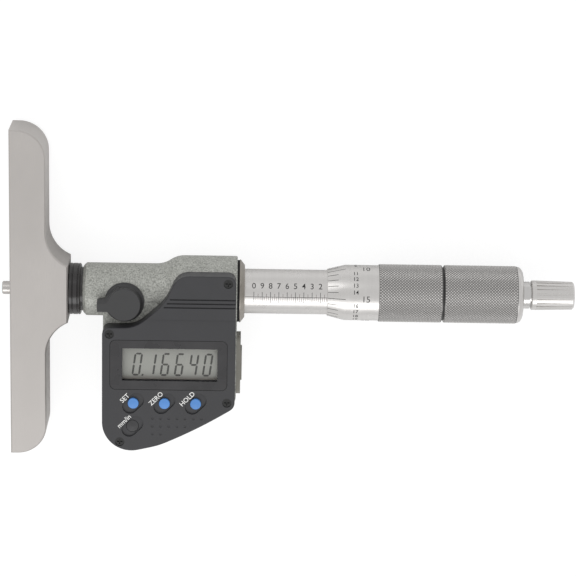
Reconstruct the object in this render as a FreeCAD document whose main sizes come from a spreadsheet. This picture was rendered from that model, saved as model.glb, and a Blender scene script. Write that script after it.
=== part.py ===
"""A digital depth micrometer, 0 to 25.4 mm, with a 101.6 mm base, in millimetres.

The spindle lies along X: the measuring face of the base is the plane X = 0 and the ratchet is at +X.
Y runs along the base, and Z points out of the display. The instrument lies on the back of its frame.
It is drawn with its rod 2.92 mm out of the base, so every size along the thimble is given at that reading.
"""
import FreeCAD, Part
import math
import operator
import os

import Sketcher

doc = FreeCAD.newDocument("depth_micrometer")
sheet = doc.addObject("Spreadsheet::Sheet", "Sizes")
nodes = []

# ---------------------------------------------------------------- sizes and how they are written


class Size:
    """A length that carries both its value and the sheet expression that gives it."""

    def __init__(self, value, text):
        self.value = value
        self.text = text

    def __add__(self, other):
        return combine(self, "+", other)

    def __radd__(self, other):
        return combine(other, "+", self)

    def __sub__(self, other):
        return combine(self, "-", other)

    def __rsub__(self, other):
        return combine(other, "-", self)

    def __mul__(self, other):
        return combine(self, "*", other)

    def __rmul__(self, other):
        return combine(other, "*", self)

    def __truediv__(self, other):
        return combine(self, "/", other)

    def __neg__(self):
        return combine(0, "-", self)


OPERATORS = {"+": operator.add, "-": operator.sub, "*": operator.mul, "/": operator.truediv}


def as_size(number):
    """A plain number as a Size; a Size stays as it is."""
    return number if isinstance(number, Size) else Size(float(number), f"({number})")


def combine(left, sign, right):
    left, right = as_size(left), as_size(right)
    value = OPERATORS[sign](left.value, right.value)
    return Size(value, f"({left.text} {sign} {right.text})")


def root(square):
    """The square root of a Size."""
    return Size(math.sqrt(square.value), f"sqrt({square.text})")


def size(name, value):
    """Write one driving size into the sheet and hand it back."""
    row = size.rows = getattr(size, "rows", 0) + 1
    sheet.set(f"A{row}", name)
    sheet.set(f"B{row}", str(value))
    sheet.setAlias(f"B{row}", name)
    return Size(float(value), f"Sizes.{name}")


# base
base_length = size("base_length", 101.6)
base_width = size("base_width", 16.0)
arm_depth = size("arm_depth", 11.0)
end_round = size("end_round", 8.9)
boss_half = size("boss_half", 8.95)
boss_depth = size("boss_depth", 17.6)
cove_round = size("cove_round", 10.95)
edge_break = size("edge_break", 0.4)
guide_length = size("guide_length", 5.0)
socket_depth = size("socket_depth", 5.8)

# clearances
running_gap = size("running_gap", 0.05)
seat_gap = size("seat_gap", 0.02)
free_gap = size("free_gap", 0.3)

# rod and its nuts
rod_radius = size("rod_radius", 2.0)
rod_out = size("rod_out", 2.92)
measuring_range = size("measuring_range", 25.4)
rod_chamfer = size("rod_chamfer", 0.3)
rod_nut_flats = size("rod_nut_flats", 6.4)
rod_nut_height = size("rod_nut_height", 2.3)
lock_nut_height = size("lock_nut_height", 1.7)

# stem and lock ring, between base and frame
stem_radius = size("stem_radius", 5.45)
stem_bore_gap = size("stem_bore_gap", 0.1)
ring_radius = size("ring_radius", 7.9)
ring_length = size("ring_length", 3.7)
ring_groove = size("ring_groove", 0.15)
shoulder_radius = size("shoulder_radius", 6.75)
shoulder_length = size("shoulder_length", 0.8)
stem_in_frame = size("stem_in_frame", 8.5)
frame_x = boss_depth + ring_length + shoulder_length

# frame casting
neck_radius = size("neck_radius", 8.13)
neck_length = size("neck_length", 22.3)
neck_chamfer = size("neck_chamfer", 0.9)
blend_length = size("blend_length", 8.6)
block_radius = size("block_radius", 10.75)
block_length = size("block_length", 16.2)
block_wall = size("block_wall", 1.85)
frame_back = size("frame_back", 9.2)
frame_edge_round = size("frame_edge_round", 1.2)
bush_bore_length = size("bush_bore_length", 17.5)
chamber_depth = size("chamber_depth", 16.6)
spindle_way_gap = size("spindle_way_gap", 0.8)
pocket_floor = size("pocket_floor", 2.0)
pocket_wall = size("pocket_wall", 5.1)
blend_x = frame_x + neck_length
block_x = blend_x + blend_length
frame_end = block_x + block_length
chamber_x = frame_end - chamber_depth
chamber_radius = block_radius - block_wall
lock_x = frame_x + size("lock_from_neck_end", 12.8)
lock_y = size("lock_y", 1.75)

# display outline: its corners before they are rounded
frame_strip = size("frame_strip", 0.3)
panel_left = frame_x + size("panel_from_neck_end", 6.25)
panel_right = frame_end - frame_strip
panel_top = block_radius - size("panel_below_block", 2.8)
panel_shoulder = lock_y + size("lever_room", 6.9)
waist_rise = size("waist_rise", 7.71)
waist_start = lock_x + size("waist_start_from_lock", 3.58)
waist_end = lock_x + size("waist_end_from_lock", 12.18)
crown_start = lock_x + size("crown_from_lock", 16.3)
slope_top = size("slope_top", 33.6)
slope_foot_x = panel_left + size("slope_foot_from_left", 17.15)
slope_foot = size("slope_foot", 46.1)
toe = size("toe", 50.0)
slope_bow = size("slope_bow", 150.0)
round_shoulder = size("round_shoulder", 2.2)
round_waist = size("round_waist", 9.0)
round_flank = size("round_flank", 15.0)
round_crown = size("round_crown", 5.4)
round_top_right = size("round_top_right", 2.5)
round_low_right = size("round_low_right", 3.0)
round_foot = size("round_foot", 25.0)
round_toe = size("round_toe", 9.0)

# display housing
housing_face = block_radius + size("block_cover", 2.75)
housing_face_rise = size("housing_face_rise", 5.7)
frame_seat = housing_face - housing_face_rise
brow_height = size("brow_height", 0.4)
brow_edge = size("brow_edge", 5.75)
housing_front_wall = size("housing_front_wall", 2.0)
housing_side_wall = size("housing_side_wall", 1.6)
housing_edge_round = size("housing_edge_round", 0.35)
gasket_height = size("gasket_height", 0.4)
housing_arch_gap = size("housing_arch_gap", 0.15)
grip_line_width = size("grip_line_width", 0.42)
grip_line_depth = size("grip_line_depth", 0.45)
grip_line_top = size("grip_line_top", 0.6)
grip_line_step = size("grip_line_step", 0.9)
grip_line_pitch = size("grip_line_pitch", 1.25)
dimple_radius = size("dimple_radius", 0.4)
dimple_depth = size("dimple_depth", 0.15)
dimple_pitch = size("dimple_pitch", 2.5)
dimple_x = panel_left + size("dimple_from_left", 15.45)
dimple_y = size("dimple_y", 37.2)

# window and display
lens_left = panel_left + size("lens_from_left", 2.45)
lens_right = panel_right - size("lens_from_right", 2.5)
lens_top = size("lens_top", 12.5)
lens_bottom = size("lens_bottom", 28.0)
lens_round = size("lens_round", 1.6)
lens_gap = size("lens_gap", 0.12)
lens_thickness = size("lens_thickness", 1.1)
view_left = lens_left + size("view_from_lens_left", 3.65)
view_right = lens_right - size("view_from_lens_right", 2.9)
view_top = size("view_top", 15.0)
view_bottom = size("view_bottom", 25.2)
glass_margin = size("glass_margin", 0.8)
glass_thickness = size("glass_thickness", 1.8)
board_thickness = size("board_thickness", 1.0)

# buttons
button_radius = size("button_radius", 1.65)
unit_button_radius = size("unit_button_radius", 1.9)
button_x = panel_left + size("button_from_left", 9.55)
button_y = size("button_y", 32.45)
button_pitch = size("button_pitch", 9.54)
unit_button_x = button_x - size("unit_button_offset", 0.2)
unit_button_y = size("unit_button_y", 39.85)
button_proud = size("button_proud", 0.4)
unit_button_sunk = size("unit_button_sunk", 0.4)
button_flange = size("button_flange", 0.65)
button_flange_height = size("button_flange_height", 0.75)
button_stroke = size("button_stroke", 0.5)
dish_radius = size("dish_radius", 2.35)
dish_reach = size("dish_reach", 1.4)
dish_depth = size("dish_depth", 0.6)
pad_thickness = size("pad_thickness", 0.7)
dome_radius = size("dome_radius", 1.5)

# housing screws
screw_left_x = panel_left + size("screw_from_left", 2.22)
screw_left_y = panel_shoulder + size("screw_from_shoulder", 1.95)
screw_right_x = panel_right - size("screw_from_right", 2.4)
screw_right_y = size("screw_right_y", 32.0)
screw_toe_x = panel_left + size("toe_screw_from_left", 5.45)
screw_toe_y = size("screw_toe_y", 44.85)
screw_crown_y = size("screw_crown_y", 5.7)
screw_head_radius = size("screw_head_radius", 1.4)
screw_head_height = size("screw_head_height", 1.1)
screw_sunk = size("screw_sunk", 0.35)
screw_shank_radius = size("screw_shank_radius", 0.8)
screw_grip = size("screw_grip", 4.0)
crown_screw_tip = block_radius - size("crown_screw_bite", 3.2)
screw_boss_radius = size("screw_boss_radius", 1.9)

# spindle lock
lock_screw_radius = size("lock_screw_radius", 1.5)
lever_base = neck_radius + seat_gap
lever_skirt_radius = size("lever_skirt_radius", 6.06)
lever_skirt_height = size("lever_skirt_height", 0.75)
lever_radius = size("lever_radius", 5.05)
lever_height = size("lever_height", 4.25)
lever_flare = size("lever_flare", 0.8)
tab_reach = size("tab_reach", 8.15)
tab_low = size("tab_low", 2.2)
tab_high = size("tab_high", 1.2)
tab_slope = size("tab_slope", 1.1)
tab_drop = size("tab_drop", 0.35)
bush_length = size("bush_length", 8.2)
bush_slit = size("bush_slit", 0.8)

# spindle
spindle_radius = size("spindle_radius", 3.5)
spindle_front = guide_length + measuring_range - rod_out + size("spindle_stop", 0.92)
screw_radius = spindle_radius + size("thread_height", 0.6)
relief_radius = spindle_radius - size("relief_depth", 0.2)
taper_large = spindle_radius + size("taper_large_wall", 1.1)
taper_small = spindle_radius + size("taper_small_wall", 0.75)
keyway_width = size("keyway_width", 1.2)
keyway_depth = size("keyway_depth", 0.7)
keyway_spare = size("keyway_spare", 0.7)
screw_lead_in = size("screw_lead_in", 3.0)
screw_run_out = size("screw_run_out", 1.0)

# encoder
stator_thickness = size("stator_thickness", 1.2)
encoder_gap = size("encoder_gap", 0.4)
rotor_radius = chamber_radius - size("rotor_clearance", 0.6)
rotor_thickness = size("rotor_thickness", 1.0)
rotor_hub_radius = spindle_radius + size("rotor_hub_wall", 1.4)
rotor_hub_length = size("rotor_hub_length", 7.4)
bearing_length = size("bearing_length", 5.3)
clip_thickness = size("clip_thickness", 0.5)
clip_radius = rotor_hub_radius + size("clip_height", 0.9)
clip_groove = size("clip_groove", 0.4)
key_length = size("key_length", 2.4)

# sleeves
sleeve_radius = size("sleeve_radius", 6.85)
sleeve_wall = size("sleeve_wall", 0.7)
sleeve_end = frame_end + size("sleeve_reach", 31.4)
barrel_flange_x = frame_end - size("flange_depth", 6.4)
barrel_flange_length = size("barrel_flange_length", 1.2)
barrel_bore_gap = size("barrel_bore_gap", 0.15)
barrel_nut_length = size("barrel_nut_length", 12.8)
barrel_thread_radius = screw_radius + size("barrel_nut_wall", 1.2)
taper_nut_length = size("taper_nut_length", 2.0)
taper_nut_gap = size("taper_nut_gap", 0.2)
barrel_slit = size("barrel_slit", 0.6)
barrel_slit_length = size("barrel_slit_length", 9.0)
sleeve_nut_radius = chamber_radius + size("sleeve_nut_rim", 0.8)
sleeve_nut_nose = sleeve_radius + size("sleeve_nut_nose_wall", 1.15)
sleeve_nut_length = size("sleeve_nut_length", 1.5)
sleeve_nut_edge = size("sleeve_nut_edge", 0.2)
seal_thickness = size("seal_thickness", 0.75)
seal_radius = chamber_radius + size("seal_rim", 0.6)

# thimble
thimble_edge = frame_end + size("thimble_edge_reach", 27.56)
thimble_gap = size("thimble_gap", 0.08)
thimble_lip_radius = sleeve_radius + thimble_gap + size("thimble_lip", 0.24)
bevel_length = size("bevel_length", 5.5)
thimble_radius = sleeve_radius + size("thimble_wall", 1.68)
plain_length = size("plain_length", 10.2)
knurl_radius = thimble_radius + size("knurl_rise", 0.39)
knurl_chamfer = size("knurl_chamfer", 0.35)
thimble_length = size("thimble_length", 35.24)
web_thickness = size("web_thickness", 3.6)
cap_thread_radius = knurl_radius - size("cap_thread_wall", 1.52)
cap_thread_length = size("cap_thread_length", 2.75)
spindle_proud = size("spindle_proud", 0.6)

# thimble cap
cap_groove_width = size("cap_groove_width", 0.6)
cap_groove_radius = knurl_radius - size("cap_groove_depth", 0.72)
cap_length = size("cap_length", 24.3)
cap_nose_radius = knurl_radius - size("cap_nose_drop", 2.2)
cap_nose_round = size("cap_nose_round", 1.85)
cap_bore = cap_thread_radius - size("cap_wall", 1.9)
cap_bore_length = size("cap_bore_length", 11.0)
cap_hub_radius = size("cap_hub_radius", 3.0)

# ratchet
ratchet_neck_radius = size("ratchet_neck_radius", 4.17)
ratchet_neck_length = size("ratchet_neck_length", 2.2)
ratchet_shank = size("ratchet_shank", 9.0)
knob_gap = size("knob_gap", 0.5)
knob_radius = size("knob_radius", 4.54)
knob_end_radius = size("knob_end_radius", 4.3)
knob_length = size("knob_length", 13.2)
knob_band = size("knob_band", 1.5)
knob_bore = size("knob_bore", 3.2)
knob_web = size("knob_web", 0.8)
knob_recess = size("knob_recess", 2.4)
knob_end_bore = size("knob_end_bore", 2.4)
knob_chamfer = size("knob_chamfer", 0.5)
flute_count = size("flute_count", 20)
flute_depth = size("flute_depth", 0.3)
flute_width = size("flute_width", 0.8)
pawl_hub_length = size("pawl_hub_length", 2.6)
tooth_count = size("tooth_count", 12)
tooth_height = size("tooth_height", 0.6)
pawl_length = size("pawl_length", 2.5)
ratchet_screw_radius = size("ratchet_screw_radius", 1.2)
ratchet_head_radius = size("ratchet_head_radius", 2.1)
ratchet_head_height = size("ratchet_head_height", 1.4)
spring_wire = size("spring_wire", 0.3)
spring_turns = size("spring_turns", 3)

# battery and connector
battery_x = panel_left + size("battery_from_left", 20.65)
battery_y = size("battery_y", 28.0)
battery_radius = size("battery_radius", 5.8)
battery_height = size("battery_height", 5.4)
battery_room = size("battery_room", 0.2)
battery_cap_radius = size("battery_cap_radius", 7.6)
battery_cap_height = size("battery_cap_height", 1.5)
battery_cap_sunk = size("battery_cap_sunk", 0.1)
coin_slot_width = size("coin_slot_width", 1.6)
coin_slot_depth = size("coin_slot_depth", 0.8)
coin_slot_length = size("coin_slot_length", 11.0)
seal_cord = size("seal_cord", 0.5)
contact_radius = size("contact_radius", 1.2)
socket_y = size("socket_y", 22.75)
socket_z = size("socket_z", 0.5)
socket_length = size("socket_length", 9.8)
socket_height = size("socket_height", 5.0)
socket_room = size("socket_room", 0.1)
cover_length = size("cover_length", 18.5)
cover_height = size("cover_height", 8.0)
cover_thickness = size("cover_thickness", 1.3)
cover_round = size("cover_round", 1.6)
cover_ridge = size("cover_ridge", 0.4)
cover_ridge_length = size("cover_ridge_length", 9.4)
cover_screw_inset = size("cover_screw_inset", 1.9)
cover_screw_radius = size("cover_screw_radius", 0.7)
cover_screw_head = size("cover_screw_head", 1.25)
cover_screw_depth = size("cover_screw_depth", 3.0)

# ---------------------------------------------------------------- places worked out from the sizes

thimble_end = thimble_edge + thimble_length
cap_x = thimble_end + cap_groove_width
cap_end = cap_x + cap_length
web_back = thimble_end - cap_thread_length
web_front = web_back - web_thickness
rod_seat = web_back + spindle_proud
neck_end = cap_end + ratchet_neck_length
knob_x = neck_end + knob_gap
knob_end = knob_x + knob_length
barrel_end = sleeve_end + taper_nut_gap + taper_nut_length
nut_x = barrel_end - barrel_nut_length
sleeve_front = barrel_flange_x + barrel_flange_length
screw_start = nut_x - screw_lead_in
screw_end = web_front - screw_run_out
rotor_x = chamber_x + stator_thickness + encoder_gap
bearing_x = rotor_x + rotor_thickness + encoder_gap
key_x = bearing_x + bearing_length / 2
keyway_start = key_x - rod_out - key_length / 2 - keyway_spare
keyway_end = key_x + measuring_range - rod_out + key_length / 2 + keyway_spare
housing_foot = frame_seat + gasket_height
housing_ceiling = housing_face - housing_front_wall

# ---------------------------------------------------------------- drawing helpers


def new_body(label):
    """An empty body that becomes one node, named by its label."""
    body = doc.addObject("PartDesign::Body", label)
    body.Label = label
    nodes.append(body)
    return body


def sketch(body, plane="XY", lift=0):
    """A sketch on one of the body's own origin planes, lifted along the plane's normal."""
    drawing = body.newObject("Sketcher::SketchObject", "Sketch")
    support = [f for f in body.Origin.OriginFeatures if f.Role == f"{plane}_Plane"][0]
    drawing.AttachmentSupport = [(support, "")]
    drawing.MapMode = "FlatFace"
    drawing.setExpression("AttachmentOffset.Base.z", as_size(lift).text)
    return drawing


def pin(drawing, curve, end, x, y):
    """Hold one point of a curve at x and y from the sketch's origin."""
    for kind, place in (("DistanceX", as_size(x)), ("DistanceY", as_size(y))):
        rule = drawing.addConstraint(Sketcher.Constraint(kind, -1, 1, curve, end, place.value))
        drawing.setExpression(f"Constraints[{rule}]", place.text)


def set_radius(drawing, curve, radius):
    rule = drawing.addConstraint(Sketcher.Constraint("Radius", curve, radius.value))
    drawing.setExpression(f"Constraints[{rule}]", radius.text)


def circle(drawing, x, y, radius):
    """A circle with its centre and radius held."""
    x, y, radius = as_size(x), as_size(y), as_size(radius)
    centre = FreeCAD.Vector(x.value, y.value, 0)
    curve = drawing.addGeometry(Part.Circle(centre, FreeCAD.Vector(0, 0, 1), radius.value), False)
    pin(drawing, curve, 3, x, y)
    set_radius(drawing, curve, radius)


def arc_between(start, end, radius):
    """The shorter arc from start to end, turning left for a positive radius and right for a negative."""
    if radius < 0:
        start, end = end, start
    half = (end - start) * 0.5
    rise = math.sqrt(radius * radius - half.Length * half.Length)
    across = FreeCAD.Vector(-half.y, half.x, 0).normalize()
    centre = start + half + across * rise
    angles = [math.atan2(p.y - centre.y, p.x - centre.x) for p in (start, end)]
    full = Part.Circle(centre, FreeCAD.Vector(0, 0, 1), abs(radius))
    return Part.ArcOfCircle(full, *angles)


def loop(drawing, corners):
    """A closed loop of lines and arcs with every corner held.

    A corner is (x, y), or (x, y, radius) where the stretch that arrives there is an arc.
    """
    corners = [[as_size(v) for v in corner] for corner in corners]
    points = [FreeCAD.Vector(c[0].value, c[1].value, 0) for c in corners]
    ends = []
    for i, corner in enumerate(corners):
        start, end = points[i - 1], points[i]
        if len(corner) == 2:
            curve = drawing.addGeometry(Part.LineSegment(start, end), False)
            ends.append((curve, 1, 2))
            continue
        turn = corner[2]
        curve = drawing.addGeometry(arc_between(start, end, turn.value), False)
        ends.append((curve, 1, 2) if turn.value > 0 else (curve, 2, 1))
        set_radius(drawing, curve, turn if turn.value > 0 else -turn)
    for i, corner in enumerate(corners):
        curve, _, end = ends[i]
        following, start, _ = ends[(i + 1) % len(ends)]
        drawing.addConstraint(Sketcher.Constraint("Coincident", curve, end, following, start))
        pin(drawing, curve, end, corner[0], corner[1])


def box_loop(drawing, low_x, low_y, high_x, high_y):
    loop(drawing, [(low_x, low_y), (high_x, low_y), (high_x, high_y), (low_x, high_y)])


def rounded_loop(drawing, low_x, low_y, high_x, high_y, radius):
    """A rectangle with four round corners."""
    loop(drawing, [
        (high_x - radius, low_y), (high_x, low_y + radius, radius), (high_x, high_y - radius),
        (high_x - radius, high_y, radius), (low_x + radius, high_y), (low_x, high_y - radius, radius),
        (low_x, low_y + radius), (low_x + radius, low_y, radius)])


def slanted_slot(drawing, x, y, reach, radius):
    """A slot whose length lies at 45 degrees, its end centres reach away from its middle."""
    step = reach * math.sqrt(0.5)
    side = radius.value * math.sqrt(0.5)
    up = FreeCAD.Vector(0, 0, 1)
    arcs = []
    for sign, first in ((1, -math.pi / 4), (-1, 3 * math.pi / 4)):
        px, py = x + sign * step, y + sign * step
        centre = FreeCAD.Vector(px.value, py.value, 0)
        arc = Part.ArcOfCircle(Part.Circle(centre, up, radius.value), first, first + math.pi)
        curve = drawing.addGeometry(arc, False)
        pin(drawing, curve, 3, px, py)
        set_radius(drawing, curve, radius)
        arcs.append((curve, centre))
    offset = FreeCAD.Vector(-side, side, 0)
    (upper, high), (lower, low) = arcs
    first = drawing.addGeometry(Part.LineSegment(high + offset, low + offset), False)
    second = drawing.addGeometry(Part.LineSegment(low - offset, high - offset), False)
    for a, a_end, b, b_end in ((upper, 2, first, 1), (first, 2, lower, 1),
                               (lower, 2, second, 1), (second, 2, upper, 1)):
        drawing.addConstraint(Sketcher.Constraint("Tangent", a, a_end, b, b_end))


# ---------------------------------------------------------------- features


def feature(body, kind, drawing, **bound):
    """A PartDesign feature on a sketch, with its sizes bound to the sheet."""
    made = body.newObject(f"PartDesign::{kind}", kind)
    made.Profile = drawing
    for name, value in bound.items():
        made.setExpression(name, as_size(value).text)
    return made


def pad(body, drawing, length):
    """Add the sketch's area, raised along the sketch's normal."""
    made = feature(body, "Pad", drawing, Length=length)
    doc.recompute()
    return made


def spin(body, drawing, axis="H_Axis"):
    """Add the sketch's area, turned about the sketch's own axis."""
    made = feature(body, "Revolution", drawing)
    made.ReferenceAxis = (drawing, [axis])
    made.Angle = 360
    doc.recompute()
    return made


def checked_cut(body, before):
    """Stop if the last cut removed nothing."""
    doc.recompute()
    if body.Shape.Volume > before - 1e-6:
        raise ValueError(f"a cut in {body.Label} removes nothing")


def pocket(body, drawing, depth, upward=False):
    """Cut the sketch's area, downward against the sketch's normal or upward along it."""
    before = body.Shape.Volume
    made = feature(body, "Pocket", drawing, Length=depth)
    made.Reversed = upward
    checked_cut(body, before)
    return made


def bore(body, drawing, axis="H_Axis"):
    """Cut the sketch's area, turned about the sketch's own axis."""
    before = body.Shape.Volume
    made = feature(body, "Groove", drawing)
    made.ReferenceAxis = (drawing, [axis])
    made.Angle = 360
    checked_cut(body, before)
    return made


def around(body, original, count, axis="X_Axis"):
    """Repeat a feature evenly about one of the body's axes."""
    pattern = body.newObject("PartDesign::PolarPattern", "PolarPattern")
    pattern.Originals = [original]
    line = [f for f in body.Origin.OriginFeatures if f.Role == axis][0]
    pattern.Axis = (line, [""])
    pattern.Angle = 360
    pattern.setExpression("Occurrences", count.text)
    body.Tip = pattern
    doc.recompute()
    return pattern


def dress(body, kind, names, amount):
    """Fillet or chamfer the named edges or faces of the body's last feature."""
    if not names:
        raise ValueError(f"no edges for a {kind} in {body.Label}")
    base = body.Tip
    made = body.newObject(f"PartDesign::{kind}", kind)
    made.Base = (base, names)
    made.setExpression("Radius" if kind == "Fillet" else "Size", as_size(amount).text)
    body.Tip = made
    doc.recompute()
    return made


def edges(body, wanted):
    """The names of the edges of the body's last feature that pass a test."""
    return [f"Edge{i}" for i, e in enumerate(body.Tip.Shape.Edges, 1) if wanted(e)]


def near(value, place):
    return abs(value - as_size(place).value) < 1e-4


def upright_at(body, x, y):
    """The edges that stand along Z at x and y."""

    def wanted(edge):
        ends = [v.Point for v in edge.Vertexes]
        return len(ends) == 2 and all(near(p.x, x) and near(p.y, y) for p in ends)

    return edges(body, wanted)


def level_at(body, z):
    """The edges that lie wholly in the plane at height z."""

    def wanted(edge):
        bounds = edge.BoundBox
        return near(bounds.ZMin, z) and near(bounds.ZMax, z)

    return edges(body, wanted)


def place(body, x=0, y=0, z=0):
    """Set the body's placement from the sheet."""
    for axis, value in zip("xyz", (x, y, z)):
        body.setExpression(f"Placement.Base.{axis}", as_size(value).text)
    doc.recompute()


def turned(label, corners):
    """A piece turned about the X axis, from its half section of (x, radius) corners."""
    body = new_body(label)
    drawing = sketch(body)
    loop(drawing, corners)
    spin(body, drawing)
    return body


def turned_upright(label, corners):
    """A piece turned about the Z axis, from its half section of (radius, z) corners."""
    body = new_body(label)
    drawing = sketch(body, "XZ")
    loop(drawing, corners)
    spin(body, drawing, "V_Axis")
    return body


def tube(label, start, end, inner, outer):
    """A plain ring about the X axis."""
    return turned(label, [(start, inner), (end, inner), (end, outer), (start, outer)])


def hexagon(drawing, flats):
    """A hexagon about the origin, with two corners on the sketch's vertical axis."""
    reach = flats / math.sqrt(3)
    loop(drawing, [(flats / 2, reach / 2), (0, reach), (-flats / 2, reach / 2),
                   (-flats / 2, -reach / 2), (0, -reach), (flats / 2, -reach / 2)])


def group(label, shapes):
    """One node that holds several like solids, such as a set of screws."""
    node = doc.addObject("Part::Feature", label)
    node.Label = label
    node.Shape = Part.makeCompound(shapes)
    nodes.append(node)
    return node


# ---------------------------------------------------------------- base, stem and rod


def make_base():
    """The T-shaped base: a lapped bar with rounded ends, coved up to a square boss at the back."""
    half = base_length / 2
    end_y = half - end_round
    flat = arm_depth - end_round
    step = boss_depth - arm_depth
    cove_rise = root(cove_round * cove_round - (cove_round - step) * (cove_round - step))
    cove_y = boss_half + cove_rise
    body = new_body("base")
    drawing = sketch(body, lift=-base_width / 2)
    loop(drawing, [
        (0, -half), (flat, -half), (arm_depth, -end_y, end_round), (arm_depth, -cove_y),
        (boss_depth, -boss_half, -cove_round), (boss_depth, boss_half),
        (arm_depth, cove_y, -cove_round), (arm_depth, end_y), (flat, half, end_round), (0, half)])
    pad(body, drawing, base_width)
    rims = level_at(body, base_width / 2) + level_at(body, -base_width / 2)
    dress(body, "Chamfer", rims, edge_break)
    guide = rod_radius + running_gap
    clear = spindle_radius + running_gap + free_gap
    socket = boss_depth - socket_depth
    hole = sketch(body)
    loop(hole, [(0, 0), (boss_depth, 0), (boss_depth, stem_radius + seat_gap),
                (socket, stem_radius + seat_gap), (socket, clear), (guide_length, clear),
                (guide_length, guide), (0, guide)])
    bore(body, hole)


def make_stem():
    """The black tube that joins base and frame, with the shoulder that shows between them."""
    inner = spindle_radius + stem_bore_gap
    start = boss_depth - socket_depth
    shoulder = boss_depth + ring_length
    turned("stem", [
        (start, inner), (frame_x + stem_in_frame, inner), (frame_x + stem_in_frame, stem_radius),
        (frame_x, stem_radius), (frame_x, shoulder_radius), (shoulder, shoulder_radius),
        (shoulder, stem_radius), (start, stem_radius)])


def make_lock_ring():
    """The black ring that locks the base, with a fine groove near each end."""
    inner = stem_radius + seat_gap
    start, end = boss_depth, boss_depth + ring_length
    lip = 2 * ring_groove
    low = ring_radius - ring_groove
    corners = [(start, inner), (end, inner), (end, ring_radius - lip), (end - lip, ring_radius)]
    for x in (end - 3 * lip, start + 4 * lip):
        corners += [(x + lip, ring_radius), (x + lip / 2, low), (x, low), (x - lip / 2, ring_radius)]
    turned("lock_ring", corners + [(start + lip, ring_radius), (start, ring_radius - lip)])


def make_rod():
    """The measuring rod, drawn with its tip out of the base, and the two nuts at its head."""
    end = rod_seat + rod_nut_height + lock_nut_height + free_gap
    slim = rod_radius - rod_chamfer
    turned("measuring_rod", [
        (-rod_out, 0), (end, 0), (end, slim), (end - rod_chamfer, rod_radius),
        (rod_chamfer - rod_out, rod_radius), (-rod_out, slim)])
    places = (("rod_nut", rod_seat, rod_nut_height),
              ("rod_lock_nut", rod_seat + rod_nut_height, lock_nut_height))
    for label, x, height in places:
        body = new_body(label)
        drawing = sketch(body, "YZ", lift=x)
        hexagon(drawing, rod_nut_flats)
        circle(drawing, 0, 0, rod_radius + seat_gap)
        pad(body, drawing, height)


# ---------------------------------------------------------------- frame casting


def blend_corners(gap=0):
    """The swell from neck to block, as two arcs, for a section grown by a gap."""
    rise = block_radius - neck_radius
    curve = (blend_length * blend_length + rise * rise) / (4 * rise)
    mid = neck_radius + rise / 2
    return [(blend_x, neck_radius + gap), (blend_x + blend_length / 2, mid + gap, curve - gap),
            (block_x, block_radius + gap, -curve - gap)]


def low_outline(right, inset=0):
    """The corners of the display's lower outline from the left edge round to the right edge."""
    sloped = (right - panel_right) * (slope_foot - slope_top) / (panel_right - slope_foot_x)
    return [(panel_left + inset, -toe + inset), (slope_foot_x, -slope_foot + inset),
            (right - inset, -slope_top + sloped + inset, slope_bow)]


def round_low_outline(body, right):
    """Round the corners of the lower outline."""
    left_end, foot, right_end = low_outline(right)
    dress(body, "Fillet", upright_at(body, left_end[0], left_end[1]), round_toe)
    dress(body, "Fillet", upright_at(body, foot[0], foot[1]), round_foot)
    dress(body, "Fillet", upright_at(body, right_end[0], right_end[1]), round_low_right)


def frame_screw_places():
    """Where the three lower housing screws enter the frame."""
    return [(screw_left_x, -screw_left_y), (screw_right_x, -screw_right_y), (screw_toe_x, -screw_toe_y)]


def make_frame():
    """The painted casting: a round neck that swells to a block, and the plate behind the display."""
    body = new_body("frame")
    right = panel_right + frame_strip
    plate = sketch(body, lift=-frame_back)
    loop(plate, low_outline(right) + [(right, 0), (panel_left, 0)])
    pad(body, plate, frame_back + frame_seat)
    round_low_outline(body, right)
    dress(body, "Fillet", level_at(body, -frame_back), frame_edge_round)
    neck = sketch(body)
    corners = [(frame_x, 0), (frame_end, 0), (frame_end, block_radius - free_gap),
               (frame_end - free_gap, block_radius)]
    corners += [(block_x, block_radius)]
    swell = blend_corners()
    corners += [(swell[1][0], swell[1][1], -swell[2][2]), (swell[0][0], swell[0][1], -swell[1][2])]
    corners += [(frame_x + neck_chamfer, neck_radius), (frame_x, neck_radius - neck_chamfer)]
    loop(neck, corners)
    spin(body, neck)
    flat = sketch(body, lift=-frame_back)
    box_loop(flat, frame_x, -block_radius, frame_end, block_radius)
    pocket(body, flat, block_radius - frame_back)
    bored = sketch(body)
    way = spindle_radius + spindle_way_gap
    step = frame_x + bush_bore_length
    tight = stem_radius + seat_gap
    loop(bored, [(frame_x, 0), (frame_end, 0), (frame_end, chamber_radius), (chamber_x, chamber_radius),
                 (chamber_x, way), (step, way), (step, tight), (frame_x, tight)])
    bore(body, bored)
    lock_hole = sketch(body, lift=neck_radius)
    circle(lock_hole, lock_x, -lock_y, lock_screw_radius + running_gap)
    pocket(body, lock_hole, neck_radius)
    make_frame_pockets(body)


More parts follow.
